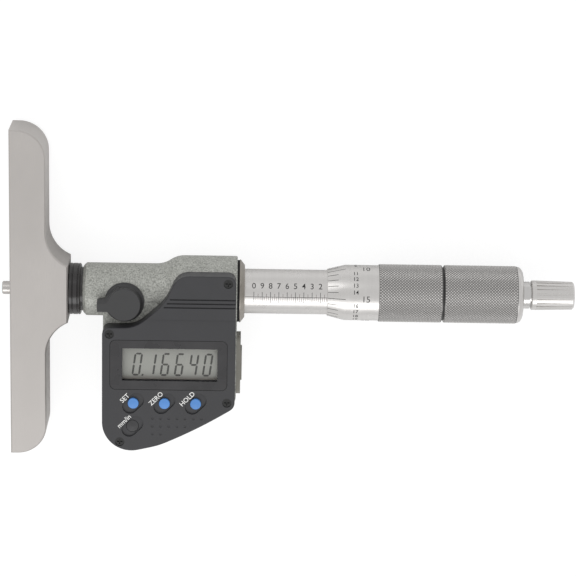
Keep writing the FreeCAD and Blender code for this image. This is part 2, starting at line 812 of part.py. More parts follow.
def make_frame_pockets(body):
    """The hollows in the casting: behind the board, for the battery, and for the connector."""
    hollow = sketch(body, lift=frame_seat)
    left = panel_left + pocket_wall
    right = frame_end - pocket_wall
    loop(hollow, [(left, -lens_top), (left, pocket_wall - slope_foot + free_gap),
                  (slope_foot_x, pocket_wall - slope_foot + free_gap),
                  (right, -slope_top + free_gap), (right, -lens_top)])
    pocket(body, hollow, frame_seat - pocket_floor)
    cell = sketch(body, lift=-frame_back)
    circle(cell, battery_x, -battery_y, battery_cap_radius + seat_gap)
    pocket(body, cell, battery_cap_height + battery_cap_sunk, upward=True)
    well = sketch(body, lift=-frame_back)
    circle(well, battery_x, -battery_y, battery_radius + battery_room)
    pocket(body, well, battery_cap_height + battery_cap_sunk + battery_height + 2 * battery_room, upward=True)
    lead = sketch(body, lift=-frame_back)
    circle(lead, battery_x, -battery_y, contact_radius + battery_room)
    pocket(body, lead, frame_back + pocket_floor, upward=True)
    port = sketch(body, "YZ", lift=frame_end)
    half, tall = socket_length / 2 + socket_room, socket_height / 2 + socket_room
    box_loop(port, -socket_y - half, socket_z - tall, -socket_y + half, socket_z + tall)
    pocket(body, port, pocket_wall)
    threads = sketch(body, lift=frame_seat)
    for x, y in frame_screw_places():
        circle(threads, x, y, screw_shank_radius + seat_gap)
    pocket(body, threads, screw_grip + free_gap)
    crown = sketch(body, lift=block_radius)
    circle(crown, screw_right_x, screw_crown_y, screw_shank_radius + seat_gap)
    pocket(body, crown, block_radius - crown_screw_tip + seat_gap)
    ends = sketch(body, "YZ", lift=frame_end)
    for sign in (-1, 1):
        circle(ends, -socket_y + sign * (cover_length / 2 - cover_screw_inset), socket_z,
               cover_screw_radius + seat_gap)
    pocket(body, ends, cover_screw_depth)


# ---------------------------------------------------------------- spindle lock


def on_tab_slope(edge):
    """Whether an edge of the lever's tab lies along the top of its sloped upper side."""
    bounds = edge.BoundBox
    at_top = near(bounds.ZMin, lever_base + lever_height)
    return at_top and bounds.YMin > 0 and bounds.XLength > 1 and bounds.YLength > 0.1


def make_lock():
    """The lever that locks the spindle, its screw, and the split bush that it squeezes."""
    hub = lock_screw_radius + seat_gap
    top = lever_base + lever_height
    skirt = lever_base + lever_skirt_height
    lever = new_body("lock_lever")
    tab = sketch(lever, lift=skirt + tab_drop)
    shoulder = lever_radius * 0.45
    loop(tab, [(-tab_reach, -tab_low), (-hub, -tab_low), (-hub, lever_radius), (-shoulder, lever_radius),
               (-tab_reach + tab_low, tab_high + tab_drop), (-tab_reach, tab_high)])
    pad(lever, tab, lever_height - lever_skirt_height - tab_drop)
    dress(lever, "Chamfer", edges(lever, on_tab_slope), tab_slope)
    half_section = sketch(lever, "XZ")
    loop(half_section, [
        (0, top), (0, top - lever_skirt_height), (hub, top - lever_skirt_height), (hub, lever_base),
        (lever_skirt_radius, lever_base), (lever_skirt_radius, skirt),
        (lever_radius, skirt + lever_flare, -(lever_skirt_radius - lever_radius) * 1.1),
        (lever_radius, top - tab_drop / 2), (lever_radius - tab_drop / 2, top)])
    spin(lever, half_section, "V_Axis")
    place(lever, lock_x, -lock_y)
    tip = stem_radius + running_gap
    screw = turned_upright("lock_screw", [
        (0, tip), (lock_screw_radius - rod_chamfer, tip), (lock_screw_radius, tip + rod_chamfer),
        (lock_screw_radius, top - lever_skirt_height), (0, top - lever_skirt_height)])
    place(screw, lock_x, -lock_y)
    start = lock_x - bush_length / 2
    bush = tube("lock_bush", start, start + bush_length, spindle_radius + running_gap, stem_radius)
    slit = sketch(bush, lift=-stem_radius)
    box_loop(slit, start, -bush_slit / 2, start + bush_length, bush_slit / 2)
    pocket(bush, slit, stem_radius, upward=True)


# ---------------------------------------------------------------- spindle, encoder and sleeves


def make_spindle():
    """The hollow spindle: a plain stem with a keyway, the measuring screw, and the thimble's taper."""
    inner = rod_radius + running_gap
    body = turned("spindle", [
        (spindle_front, inner), (rod_seat, inner), (rod_seat, taper_small), (web_back, taper_small),
        (web_front, taper_large), (web_front, relief_radius), (screw_end, relief_radius),
        (screw_end, screw_radius), (screw_start, screw_radius), (screw_start, relief_radius),
        (screw_start - 1, relief_radius), (screw_start - 1, spindle_radius),
        (spindle_front + rod_chamfer, spindle_radius), (spindle_front, spindle_radius - rod_chamfer)])
    keyway = sketch(body, lift=spindle_radius)
    box_loop(keyway, keyway_start, -keyway_width / 2, keyway_end, keyway_width / 2)
    pocket(body, keyway, keyway_depth)


def make_encoder():
    """The rotary encoder: fixed disc, rotor with its key and clip, and the bearing that carries it."""
    tight = chamber_radius - seat_gap
    stator_end = chamber_x + stator_thickness
    tube("encoder_stator", chamber_x, stator_end, spindle_radius + spindle_way_gap, tight)
    disc_end = rotor_x + rotor_thickness
    hub_end = disc_end + rotor_hub_length
    inner = spindle_radius + running_gap
    clip_x = bearing_x + bearing_length + running_gap
    groove = rotor_hub_radius - clip_groove
    body = turned("encoder_rotor", [
        (rotor_x, inner), (hub_end, inner), (hub_end, rotor_hub_radius),
        (clip_x + clip_thickness, rotor_hub_radius), (clip_x + clip_thickness, groove),
        (clip_x, groove), (clip_x, rotor_hub_radius), (disc_end, rotor_hub_radius),
        (disc_end, rotor_radius), (rotor_x, rotor_radius)])
    window = sketch(body, lift=rotor_hub_radius)
    half_key = keyway_width / 2 - running_gap
    box_loop(window, key_x - key_length / 2 - seat_gap, -half_key - seat_gap,
             key_x + key_length / 2 + seat_gap, half_key + seat_gap)
    pocket(body, window, rotor_hub_radius - spindle_radius + keyway_depth)
    key = new_body("rotor_key")
    key_base = spindle_radius - keyway_depth + running_gap
    drawing = sketch(key, lift=key_base)
    box_loop(drawing, key_x - key_length / 2, -half_key, key_x + key_length / 2, half_key)
    pad(key, drawing, rotor_hub_radius - key_base - 2 * running_gap)
    tube("rotor_clip", clip_x, clip_x + clip_thickness, groove + seat_gap, clip_radius)
    tube("encoder_bearing", bearing_x, bearing_x + bearing_length, rotor_hub_radius + running_gap, tight)


def make_barrel():
    """The inner barrel: its flange, its long bore, and the slit nut that carries the screw."""
    outer = sleeve_radius - sleeve_wall - seat_gap
    nut = screw_radius + running_gap
    body = turned("barrel", [
        (barrel_flange_x, screw_radius + barrel_bore_gap), (nut_x, screw_radius + barrel_bore_gap),
        (nut_x, nut), (barrel_end, nut), (barrel_end, barrel_thread_radius),
        (sleeve_end + taper_nut_gap, barrel_thread_radius), (sleeve_end + taper_nut_gap, outer),
        (sleeve_front, outer), (sleeve_front, chamber_radius - seat_gap),
        (barrel_flange_x, chamber_radius - seat_gap)])
    slit = sketch(body)
    box_loop(slit, barrel_end - barrel_slit_length, -barrel_slit / 2, barrel_end, barrel_slit / 2)
    cut = pocket(body, slit, outer)
    around(body, cut, size("barrel_slits", 3))
    tube("taper_nut", sleeve_end + taper_nut_gap, barrel_end, barrel_thread_radius + seat_gap,
         sleeve_radius - seat_gap)


def make_sleeve():
    """The graduated sleeve, the nut that holds it in the frame, and the seal under the nut."""
    tube("sleeve", sleeve_front, sleeve_end, sleeve_radius - sleeve_wall, sleeve_radius)
    bore_radius = sleeve_radius + seat_gap
    nut_face = frame_end + seal_thickness
    nut_end = nut_face + sleeve_nut_length
    turned("sleeve_nut", [
        (sleeve_front, bore_radius), (nut_end, bore_radius), (nut_end, sleeve_nut_nose),
        (nut_face + sleeve_nut_edge, sleeve_nut_radius), (nut_face, sleeve_nut_radius),
        (nut_face, chamber_radius - seat_gap), (sleeve_front, chamber_radius - seat_gap)])
    tube("nut_seal", frame_end, nut_face, chamber_radius, seal_radius)


# ---------------------------------------------------------------- thimble, cap and ratchet


def make_thimble():
    """The thimble: a bevelled edge for the graduations, a plain length, and the front knurl's band."""
    inner = sleeve_radius + thimble_gap
    bevel_end = thimble_edge + bevel_length
    knurl_x = bevel_end + plain_length
    fit = seat_gap
    turned("thimble", [
        (thimble_edge, inner), (web_front, inner), (web_front, taper_large + fit),
        (web_back, taper_small + fit), (web_back, cap_thread_radius), (thimble_end, cap_thread_radius),
        (thimble_end, knurl_radius - knurl_chamfer), (thimble_end - knurl_chamfer, knurl_radius),
        (knurl_x + knurl_chamfer, knurl_radius), (knurl_x, thimble_radius), (bevel_end, thimble_radius),
        (thimble_edge, thimble_lip_radius)])


def make_cap():
    """The screwed cap with the rear knurl's band, which holds the rod's head down on the spindle."""
    spigot = cap_thread_radius - seat_gap
    start = rod_seat + free_gap
    bore_end = start + cap_bore_length
    nose = cap_end - cap_nose_round
    turned("thimble_cap", [
        (start, cap_bore), (bore_end, cap_bore), (bore_end, cap_hub_radius), (cap_end, cap_hub_radius),
        (cap_end, cap_nose_radius), (nose, knurl_radius, cap_nose_round * 1.2),
        (cap_x + knurl_chamfer, knurl_radius), (cap_x, knurl_radius - knurl_chamfer),
        (cap_x, cap_groove_radius), (thimble_end, cap_groove_radius), (thimble_end, spigot),
        (start, spigot)])


def saw_tooth(body, face, root_x, radius):
    """Cut one radial saw tooth into a face across the X axis, as deep as root_x at its steep side."""
    half_pitch = radius * math.tan(math.pi / tooth_count.value)
    drawing = sketch(body, "XZ", lift=radius + free_gap)
    loop(drawing, [(face, -half_pitch), (face, half_pitch), (root_x, -half_pitch)])
    return pocket(body, drawing, radius + free_gap)


def make_ratchet():
    """The ratchet stop: fixed teeth on a shank, a sprung toothed wheel, the knob and its screw."""
    shank = cap_hub_radius - seat_gap
    thread = ratchet_screw_radius
    hub = knob_bore - running_gap
    face = neck_end + knob_gap + pawl_hub_length
    body = turned("ratchet_body", [
        (cap_end - ratchet_shank, thread + seat_gap), (face, thread + seat_gap), (face, hub),
        (neck_end, hub), (neck_end, ratchet_neck_radius), (cap_end, ratchet_neck_radius),
        (cap_end, shank), (cap_end - ratchet_shank, shank)])
    cut = saw_tooth(body, face, face - tooth_height, hub)
    around(body, cut, tooth_count)
    wheel_x = face + running_gap
    wheel_end = wheel_x + pawl_length
    wheel = turned("ratchet_wheel", [
        (wheel_x, thread + running_gap), (wheel_end, thread + running_gap), (wheel_end, hub), (wheel_x, hub)])
    cut = saw_tooth(wheel, wheel_x, wheel_x + tooth_height, hub)
    around(wheel, cut, tooth_count)
    web_end = knob_end - knob_recess
    web_x = web_end - knob_web
    make_knob(web_x, web_end)
    head = web_end + running_gap
    turned("ratchet_screw", [
        (cap_end - ratchet_shank, 0), (head + ratchet_head_height, 0),
        (head + ratchet_head_height, ratchet_head_radius), (head, ratchet_head_radius), (head, thread),
        (cap_end - ratchet_shank, thread)])
    make_spring(wheel_end, web_x)


def make_knob(web_x, web_end):
    """The fluted ratchet knob, bored for the spring and recessed for the screw's head."""
    knob = turned("ratchet_knob", [
        (knob_x, knob_bore), (web_x, knob_bore), (web_x, ratchet_screw_radius + running_gap),
        (web_end, ratchet_screw_radius + running_gap), (web_end, knob_end_bore), (knob_end, knob_end_bore),
        (knob_end, knob_end_radius - knob_chamfer), (knob_end - knob_chamfer, knob_end_radius),
        (knob_x + knob_band, knob_radius), (knob_x + knob_chamfer / 2, knob_radius),
        (knob_x, knob_radius - knob_chamfer / 2)])
    flute = sketch(knob, "YZ", lift=knob_end)
    low = knob_radius - flute_depth
    loop(flute, [(-flute_width / 4, low), (flute_width / 4, low), (flute_width / 2, knob_radius + free_gap),
                 (-flute_width / 2, knob_radius + free_gap)])
    cut = pocket(knob, flute, knob_length - knob_band)
    around(knob, cut, flute_count)


def make_spring(start, end):
    """The coil spring that presses the ratchet wheel forward, between the wheel and the knob's web."""
    wire = spring_wire.value
    first = start.value + wire + running_gap.value
    length = end.value - running_gap.value - wire - first
    mean = (knob_bore.value + ratchet_screw_radius.value) / 2
    helix = Part.makeHelix(length / spring_turns.value, length, mean)
    section = Part.Wire([Part.makeCircle(wire, FreeCAD.Vector(mean, 0, 0), FreeCAD.Vector(0, 1, 0))])
    coil = Part.Wire(helix.Edges).makePipeShell([section], True, True)
    node = doc.addObject("Part::Feature", "ratchet_spring")
    node.Label = "ratchet_spring"
    node.Shape = coil
    along_x = FreeCAD.Rotation(FreeCAD.Vector(0, 1, 0), 90)
    node.Placement = FreeCAD.Placement(FreeCAD.Vector(first, 0, 0), along_x)
    nodes.append(node)


# ---------------------------------------------------------------- display unit


def panel_corners():
    """The display's outline, anticlockwise from its toe, before its corners are rounded."""
    return low_outline(panel_right) + [
        (panel_right, panel_top), (crown_start, panel_top), (waist_end, -panel_shoulder + waist_rise),
        (waist_start, -panel_shoulder), (panel_left, -panel_shoulder)]


def round_panel(body):
    """Round every corner of the display's outline."""
    _, _, _, top_right, crown, flank, waist, shoulder = panel_corners()
    for corner, radius in ((shoulder, round_shoulder), (waist, round_waist), (flank, round_flank),
                           (crown, round_crown), (top_right, round_top_right)):
        dress(body, "Fillet", upright_at(body, corner[0], corner[1]), radius)
    round_low_outline(body, panel_right)


def inner_corners(wall):
    """The outline of the hollow behind the display, clear of the block."""
    left = panel_left + wall
    right = panel_right - wall
    top = -panel_shoulder - wall
    return [(left, top), (left, -toe + 1.25 * wall + round_toe / 2),
            (left + round_toe / 2, -toe + 1.7 * wall), (slope_foot_x, -slope_foot + 1.2 * wall),
            (right, -slope_top + 0.7 * wall), (right, top)]


def hollow_out(body, foot, wall, depth):
    """Hollow a housing or gasket from below, and leave a round boss about each screw."""
    hollow = sketch(body, lift=foot)
    loop(hollow, inner_corners(wall))
    pocket(body, hollow, depth, upward=True)
    bosses = sketch(body, lift=foot)
    for x, y in frame_screw_places():
        circle(bosses, x, y, screw_boss_radius)
    pad(body, bosses, depth)


def arch(body, gap, floor):
    """Cut a housing or gasket clear of the block and neck, whose section it follows at a gap."""
    swell = blend_corners(gap)
    cutter = sketch(body)
    end = frame_end + frame_strip
    loop(cutter, [(frame_x, floor), (end, floor), (end, block_radius + gap), (block_x, block_radius + gap),
                  (swell[1][0], swell[1][1], -swell[2][2]), (swell[0][0], swell[0][1], -swell[1][2]),
                  (frame_x, neck_radius + gap)])
    bore(body, cutter)


def button_places():
    """Each button's name, centre and radius."""
    row = [(label, button_x + button_pitch * i, -button_y, button_radius)
           for i, label in enumerate(("set_button", "zero_button", "hold_button"))]
    return row + [("unit_button", unit_button_x, -unit_button_y, unit_button_radius)]


def make_housing():
    """The moulded display housing: rounded outline, raised brow, window seat, dishes and grip lines."""
    body = new_body("display_housing")
    outline = sketch(body, lift=housing_foot)
    loop(outline, panel_corners())
    pad(body, outline, housing_face + brow_height - housing_foot)
    round_panel(body)
    lower = sketch(body, lift=housing_face + brow_height)
    box_loop(lower, panel_left - 1, -toe - 1, panel_right + 1, -brow_edge)
    pocket(body, lower, brow_height)
    rim = level_at(body, housing_face + brow_height) + level_at(body, housing_face)
    outer = [name for name in rim if on_outline(body, name)]
    dress(body, "Fillet", outer, housing_edge_round)
    hollow_out(body, housing_foot, housing_side_wall, housing_ceiling - housing_foot)
    arch(body, housing_arch_gap, 0)
    make_housing_openings(body)


def on_outline(body, name):
    """Whether an edge lies along the housing's outline, not across its face at the brow."""
    edge = body.Tip.Shape.getElement(name)
    return not (near(edge.BoundBox.YMin, -brow_edge) and near(edge.BoundBox.YMax, -brow_edge))


def make_housing_openings(body):
    """The window seat, button dishes and holes, screw recesses, grip lines and dimples."""
    seat = sketch(body, lift=housing_face)
    rounded_loop(seat, lens_left - lens_gap, -lens_bottom - lens_gap, lens_right + lens_gap,
                 -lens_top + lens_gap, lens_round + lens_gap)
    pocket(body, seat, lens_thickness)
    view = sketch(body, lift=housing_face)
    box_loop(view, view_left, -view_bottom, view_right, -view_top)
    pocket(body, view, housing_front_wall)
    dishes = sketch(body, lift=housing_face)
    holes = sketch(body, lift=housing_face)
    for _, x, y, radius in button_places():
        slanted_slot(dishes, x, y, dish_reach, dish_radius)
        circle(holes, x, y, radius + running_gap)
    pocket(body, dishes, dish_depth)
    pocket(body, holes, housing_front_wall)
    recess = screw_sunk + screw_head_height
    heads = sketch(body, lift=housing_face)
    shanks = sketch(body, lift=housing_face)
    for x, y in frame_screw_places():
        circle(heads, x, y, screw_head_radius + seat_gap)
        circle(shanks, x, y, screw_shank_radius + seat_gap)
    pocket(body, heads, recess)
    pocket(body, shanks, housing_face - housing_foot)
    crown_face = housing_face + brow_height
    crown_head = sketch(body, lift=crown_face)
    circle(crown_head, screw_right_x, screw_crown_y, screw_head_radius + seat_gap)
    pocket(body, crown_head, recess)
    crown_shank = sketch(body, lift=crown_face)
    circle(crown_shank, screw_right_x, screw_crown_y, screw_shank_radius + seat_gap)
    pocket(body, crown_shank, crown_face - crown_screw_tip)
    lines = sketch(body, lift=crown_face)
    for i in range(3):
        y = grip_line_top - grip_line_pitch * i
        left = waist_end + (2 - i) * grip_line_step
        box_loop(lines, left, y - grip_line_width / 2, panel_right, y + grip_line_width / 2)
    pocket(body, lines, grip_line_depth)
    dimples = sketch(body, lift=housing_face)
    for row, count in enumerate((7, 5, 2)):
        for i in range(count):
            circle(dimples, dimple_x + dimple_pitch * i, -dimple_y - dimple_pitch * row, dimple_radius)
    pocket(body, dimples, dimple_depth)


def make_gasket():
    """The thin gasket between frame and housing, which follows the housing's lower outline."""
    body = new_body("housing_gasket")
    outline = sketch(body, lift=frame_seat)
    loop(outline, low_outline(panel_right) + [(panel_right, -panel_shoulder), (panel_left, -panel_shoulder)])
    pad(body, outline, gasket_height)
    dress(body, "Fillet", upright_at(body, panel_left, -panel_shoulder), round_shoulder)
    round_low_outline(body, panel_right)
    hollow_out(body, frame_seat, housing_side_wall + free_gap, gasket_height)
    holes = sketch(body, lift=frame_seat)
    for x, y in frame_screw_places():
        circle(holes, x, y, screw_shank_radius + seat_gap)
    pocket(body, holes, gasket_height, upward=True)


def make_display():
    """The window lens, the display glass on its tray, the circuit board and the rubber key pad."""
    lens = new_body("window_lens")
    face = sketch(lens, lift=housing_face - lens_thickness)
    rounded_loop(face, lens_left, -lens_bottom, lens_right, -lens_top, lens_round)
    pad(lens, face, lens_thickness)
    top = housing_ceiling - seat_gap
    for label, margin, low, high in (
            ("display_glass", glass_margin, top - glass_thickness, top),
            ("display_tray", 2 * glass_margin, frame_seat + board_thickness, top - glass_thickness)):
        body = new_body(label)
        drawing = sketch(body, lift=low)
        box_loop(drawing, view_left - margin, -view_bottom - margin, view_right + margin, -view_top + margin)
        pad(body, drawing, high - low)
    board = new_body("circuit_board")
    drawing = sketch(board, lift=frame_seat)
    corners = inner_corners(housing_side_wall + 2 * free_gap)
    left, low = corners[0][0], corners[1][1] + round_toe / 2
    clear = screw_boss_radius + free_gap
    right, top = screw_right_x - clear, -screw_left_y - clear
    loop(drawing, [(left, top), (left, low), (slope_foot_x, low), (right, -screw_right_y), (right, top)])
    pad(board, drawing, board_thickness)


def make_buttons():
    """Four push buttons, flanged so that the housing keeps them in, over the domes of the pad."""
    flange_top = housing_ceiling - running_gap
    flange_low = flange_top - button_flange_height
    domes = []
    for label, x, y, radius in button_places():
        top = housing_face - unit_button_sunk if label == "unit_button" else housing_face + button_proud
        flange = radius + button_flange
        crown = button_flange_height / 3
        body = turned_upright(label, [
            (0, flange_low), (flange, flange_low), (flange, flange_top), (radius, flange_top),
            (radius, top - crown), (radius - crown, top - crown / 3, crown), (0, top)])
        place(body, x, y)
        domes.append((x, y))
    pad_base = frame_seat + board_thickness
    pad_body = new_body("key_pad")
    drawing = sketch(pad_body, lift=pad_base)
    margin = dome_radius + free_gap
    left, right = unit_button_x - 2 * margin, button_x + 2 * button_pitch + margin
    low = -unit_button_y - margin
    loop(drawing, [(left, low), (slope_foot_x, low), (slope_foot_x, -button_y - margin),
                   (right, -button_y - margin), (right, -button_y + margin), (left, -button_y + margin)])
    pad(pad_body, drawing, pad_thickness)
    bumps = sketch(pad_body, lift=pad_base)
    for x, y in domes:
        circle(bumps, x, y, dome_radius)
    pad(pad_body, bumps, flange_low - button_stroke - running_gap - pad_base)


def make_housing_screws():
    """Three screws into the frame's plate and a short one into the block, as one node."""
    shapes = []
    crown_face = housing_face + brow_height
    places = [(x, y, housing_face, frame_seat - screw_grip) for x, y in frame_screw_places()]
    places.append((screw_right_x, screw_crown_y, crown_face, crown_screw_tip + seat_gap))
    for x, y, face, tip in places:
        top = face - screw_sunk
        under = top - screw_head_height
        spot = FreeCAD.Vector(x.value, y.value, 0)
        head = Part.makeCylinder(screw_head_radius.value, screw_head_height.value,
                                 spot + FreeCAD.Vector(0, 0, under.value))
        shank = Part.makeCylinder(screw_shank_radius.value, under.value - tip.value,
                                  spot + FreeCAD.Vector(0, 0, tip.value))
        shapes.append(cross_recess(head.fuse(shank), spot + FreeCAD.Vector(0, 0, top.value)).removeSplitter())
    group("housing_screws", shapes)


def cross_recess(screw, top):
    """Cut a cross recess into a screw's head, whose face is centred at top."""
    length, width = (screw_head_radius * 1.2).value, (screw_head_radius / 4).value
    depth = screw_sunk.value * 1.6
    for a, b in ((length, width), (width, length)):
        bar = Part.makeBox(a, b, depth, top - FreeCAD.Vector(a / 2, b / 2, depth))
        screw = screw.cut(bar)
    return screw


# ---------------------------------------------------------------- battery and output connector


def make_battery():
    """The button cell, its contacts, and the screwed cap with a coin slot at the back."""
    low = battery_cap_height + battery_cap_sunk - frame_back
    cell_low = low + battery_room
    cell = turned_upright("battery", [
        (0, cell_low), (battery_radius, cell_low), (battery_radius, cell_low + battery_height),
        (0, cell_low + battery_height)])
    place(cell, battery_x, -battery_y)
    seal_out = battery_cap_radius - 2 * running_gap
    cap = new_body("battery_cap")
    half_section = sketch(cap, "XZ")
    outside = battery_cap_sunk - frame_back
    neck = seal_out - 2 * seal_cord
    loop(half_section, [
        (0, outside), (battery_cap_radius - free_gap, outside), (battery_cap_radius, outside + free_gap),
        (battery_cap_radius, low - seal_cord - running_gap), (neck, low - seal_cord - running_gap),
        (neck, low), (0, low)])
    spin(cap, half_section, "V_Axis")
    slot = sketch(cap, lift=outside)
    box_loop(slot, -coin_slot_length / 2, -coin_slot_width / 2, coin_slot_length / 2, coin_slot_width / 2)
    pocket(cap, slot, coin_slot_depth, upward=True)
    place(cap, battery_x, -battery_y)
    seal = turned_upright("battery_seal", [
        (neck + running_gap, low - seal_cord), (seal_out, low - seal_cord), (seal_out, low),
        (neck + running_gap, low)])
    place(seal, battery_x, -battery_y)
    contact_low = cell_low + battery_height + running_gap
    contact = turned_upright("battery_contact", [
        (0, contact_low), (contact_radius, contact_low), (contact_radius, frame_seat - running_gap),
        (0, frame_seat - running_gap)])
    place(contact, battery_x, -battery_y)


def make_connector():
    """The output socket in the frame's side, and its screwed cover with a raised middle."""
    half, tall = socket_length / 2, socket_height / 2
    socket = new_body("output_socket")
    block = sketch(socket, "YZ", lift=frame_end - pocket_wall)
    box_loop(block, -socket_y - half, socket_z - tall, -socket_y + half, socket_z + tall)
    pad(socket, block, pocket_wall)
    mouth = sketch(socket, "YZ", lift=frame_end)
    wall = free_gap * 3
    half, tall = half - wall, tall - wall
    box_loop(mouth, -socket_y - half, socket_z - tall, -socket_y + half, socket_z + tall)
    pocket(socket, mouth, pocket_wall - wall)
    cover = new_body("connector_cover")
    plate = sketch(cover, "YZ", lift=frame_end)
    low_y, high_y = -socket_y - cover_length / 2, -socket_y + cover_length / 2
    box_loop(plate, low_y, socket_z - cover_height / 2, high_y, socket_z + cover_height / 2)
    pad(cover, plate, cover_thickness)
    corners = edges(cover, lambda e: near(e.BoundBox.XLength, cover_thickness))
    dress(cover, "Fillet", corners, cover_round)
    ridge = sketch(cover, "YZ", lift=frame_end + cover_thickness)
    reach = cover_ridge_length / 2
    box_loop(ridge, -socket_y - reach, socket_z - cover_height / 2 + cover_round / 2, -socket_y + reach,
             socket_z + cover_height / 2 - cover_round / 2)
    pad(cover, ridge, cover_ridge)
    holes = sketch(cover, "YZ", lift=frame_end + cover_thickness)
    sinks = sketch(cover, "YZ", lift=frame_end + cover_thickness)
    screws = []
    for sign in (-1, 1):
        y = -socket_y + sign * (cover_length / 2 - cover_screw_inset)
        circle(holes, y, socket_z, cover_screw_radius + seat_gap)
        circle(sinks, y, socket_z, cover_screw_head + seat_gap)
        screws.append(cover_screw(y))
    pocket(cover, holes, cover_thickness)
    pocket(cover, sinks, cover_thickness / 2)
    group("cover_screws", screws)


def cover_screw(y):
    """One of the connector cover's screws, its head sunk in the plate."""
    along = FreeCAD.Vector(1, 0, 0)
    under = frame_end + cover_thickness / 2
    tip = frame_end - cover_screw_depth + free_gap
    head = Part.makeCylinder(cover_screw_head.value, cover_thickness.value / 2 - running_gap.value,
                             FreeCAD.Vector(under.value, y.value, socket_z.value), along)
    shank = Part.makeCylinder(cover_screw_radius.value, under.value - tip.value,
                              FreeCAD.Vector(tip.value, y.value, socket_z.value), along)
    return head.fuse(shank).removeSplitter()


# ---------------------------------------------------------------- build, check and write

make_base()
make_stem()
make_lock_ring()
make_rod()
make_frame()
make_lock()
make_spindle()
make_encoder()
make_barrel()
make_sleeve()
make_thimble()
make_cap()
make_ratchet()
make_housing()
make_gasket()
make_display()
make_buttons()
make_housing_screws()
make_battery()
make_connector()

doc.recompute()
failed = [o.Name for o in doc.Objects if {"Invalid", "Error"} & set(o.State)]
if failed:
    raise ValueError(f"failed to build: {failed}")
for node in nodes:
    if node.Shape.isNull() or not node.Shape.isValid():
        raise ValueError(f"{node.Label} has no valid shape")
os.makedirs("parts", exist_ok=True)
for node in nodes:
    node.Shape.exportStep(f"parts/{node.Label}.step")
print(len(nodes), "nodes,", round(sum(n.Shape.Volume for n in nodes)), "cubic millimetres")
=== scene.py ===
"""The looks of the depth micrometer: finishes, knurls, graduations, display and print, around the CAD frame."""
import math

import bmesh
import bpy
from mathutils import Matrix, Vector


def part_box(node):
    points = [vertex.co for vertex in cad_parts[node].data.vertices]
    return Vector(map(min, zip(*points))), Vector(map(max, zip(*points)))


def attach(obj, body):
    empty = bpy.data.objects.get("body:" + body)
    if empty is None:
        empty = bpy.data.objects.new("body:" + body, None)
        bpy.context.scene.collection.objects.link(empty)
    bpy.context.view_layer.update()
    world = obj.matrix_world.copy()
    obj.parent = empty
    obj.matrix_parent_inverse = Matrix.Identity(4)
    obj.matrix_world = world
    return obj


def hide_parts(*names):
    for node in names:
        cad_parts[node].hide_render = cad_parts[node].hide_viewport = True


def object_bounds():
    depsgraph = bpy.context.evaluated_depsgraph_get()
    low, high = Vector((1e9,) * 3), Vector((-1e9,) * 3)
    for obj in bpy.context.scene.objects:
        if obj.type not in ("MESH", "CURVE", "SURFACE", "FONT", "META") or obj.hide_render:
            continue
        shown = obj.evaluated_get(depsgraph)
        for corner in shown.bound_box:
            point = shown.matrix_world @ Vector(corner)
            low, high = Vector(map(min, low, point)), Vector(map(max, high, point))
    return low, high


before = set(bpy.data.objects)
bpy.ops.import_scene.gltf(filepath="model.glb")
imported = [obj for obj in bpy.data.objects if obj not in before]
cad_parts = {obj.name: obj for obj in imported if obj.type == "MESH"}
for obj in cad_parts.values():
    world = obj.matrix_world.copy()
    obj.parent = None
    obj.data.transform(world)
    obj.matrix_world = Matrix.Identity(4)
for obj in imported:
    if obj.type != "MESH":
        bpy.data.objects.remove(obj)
cad_low, cad_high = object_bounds()

MM = 0.001
INK = 0.012          # how far print stands above a surface, mm
SUNK = 0.04          # how far its underside goes below, mm
FONT_SIZE = 1.37     # the font size that gives a figure of height 1
REVOLUTION = 2 * math.pi


def span(node):
    """A CAD node's lowest and highest corners in millimetres."""
    low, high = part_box(node)
    return Vector(low) / MM, Vector(high) / MM


# ---------------------------------------------------------------- material helpers

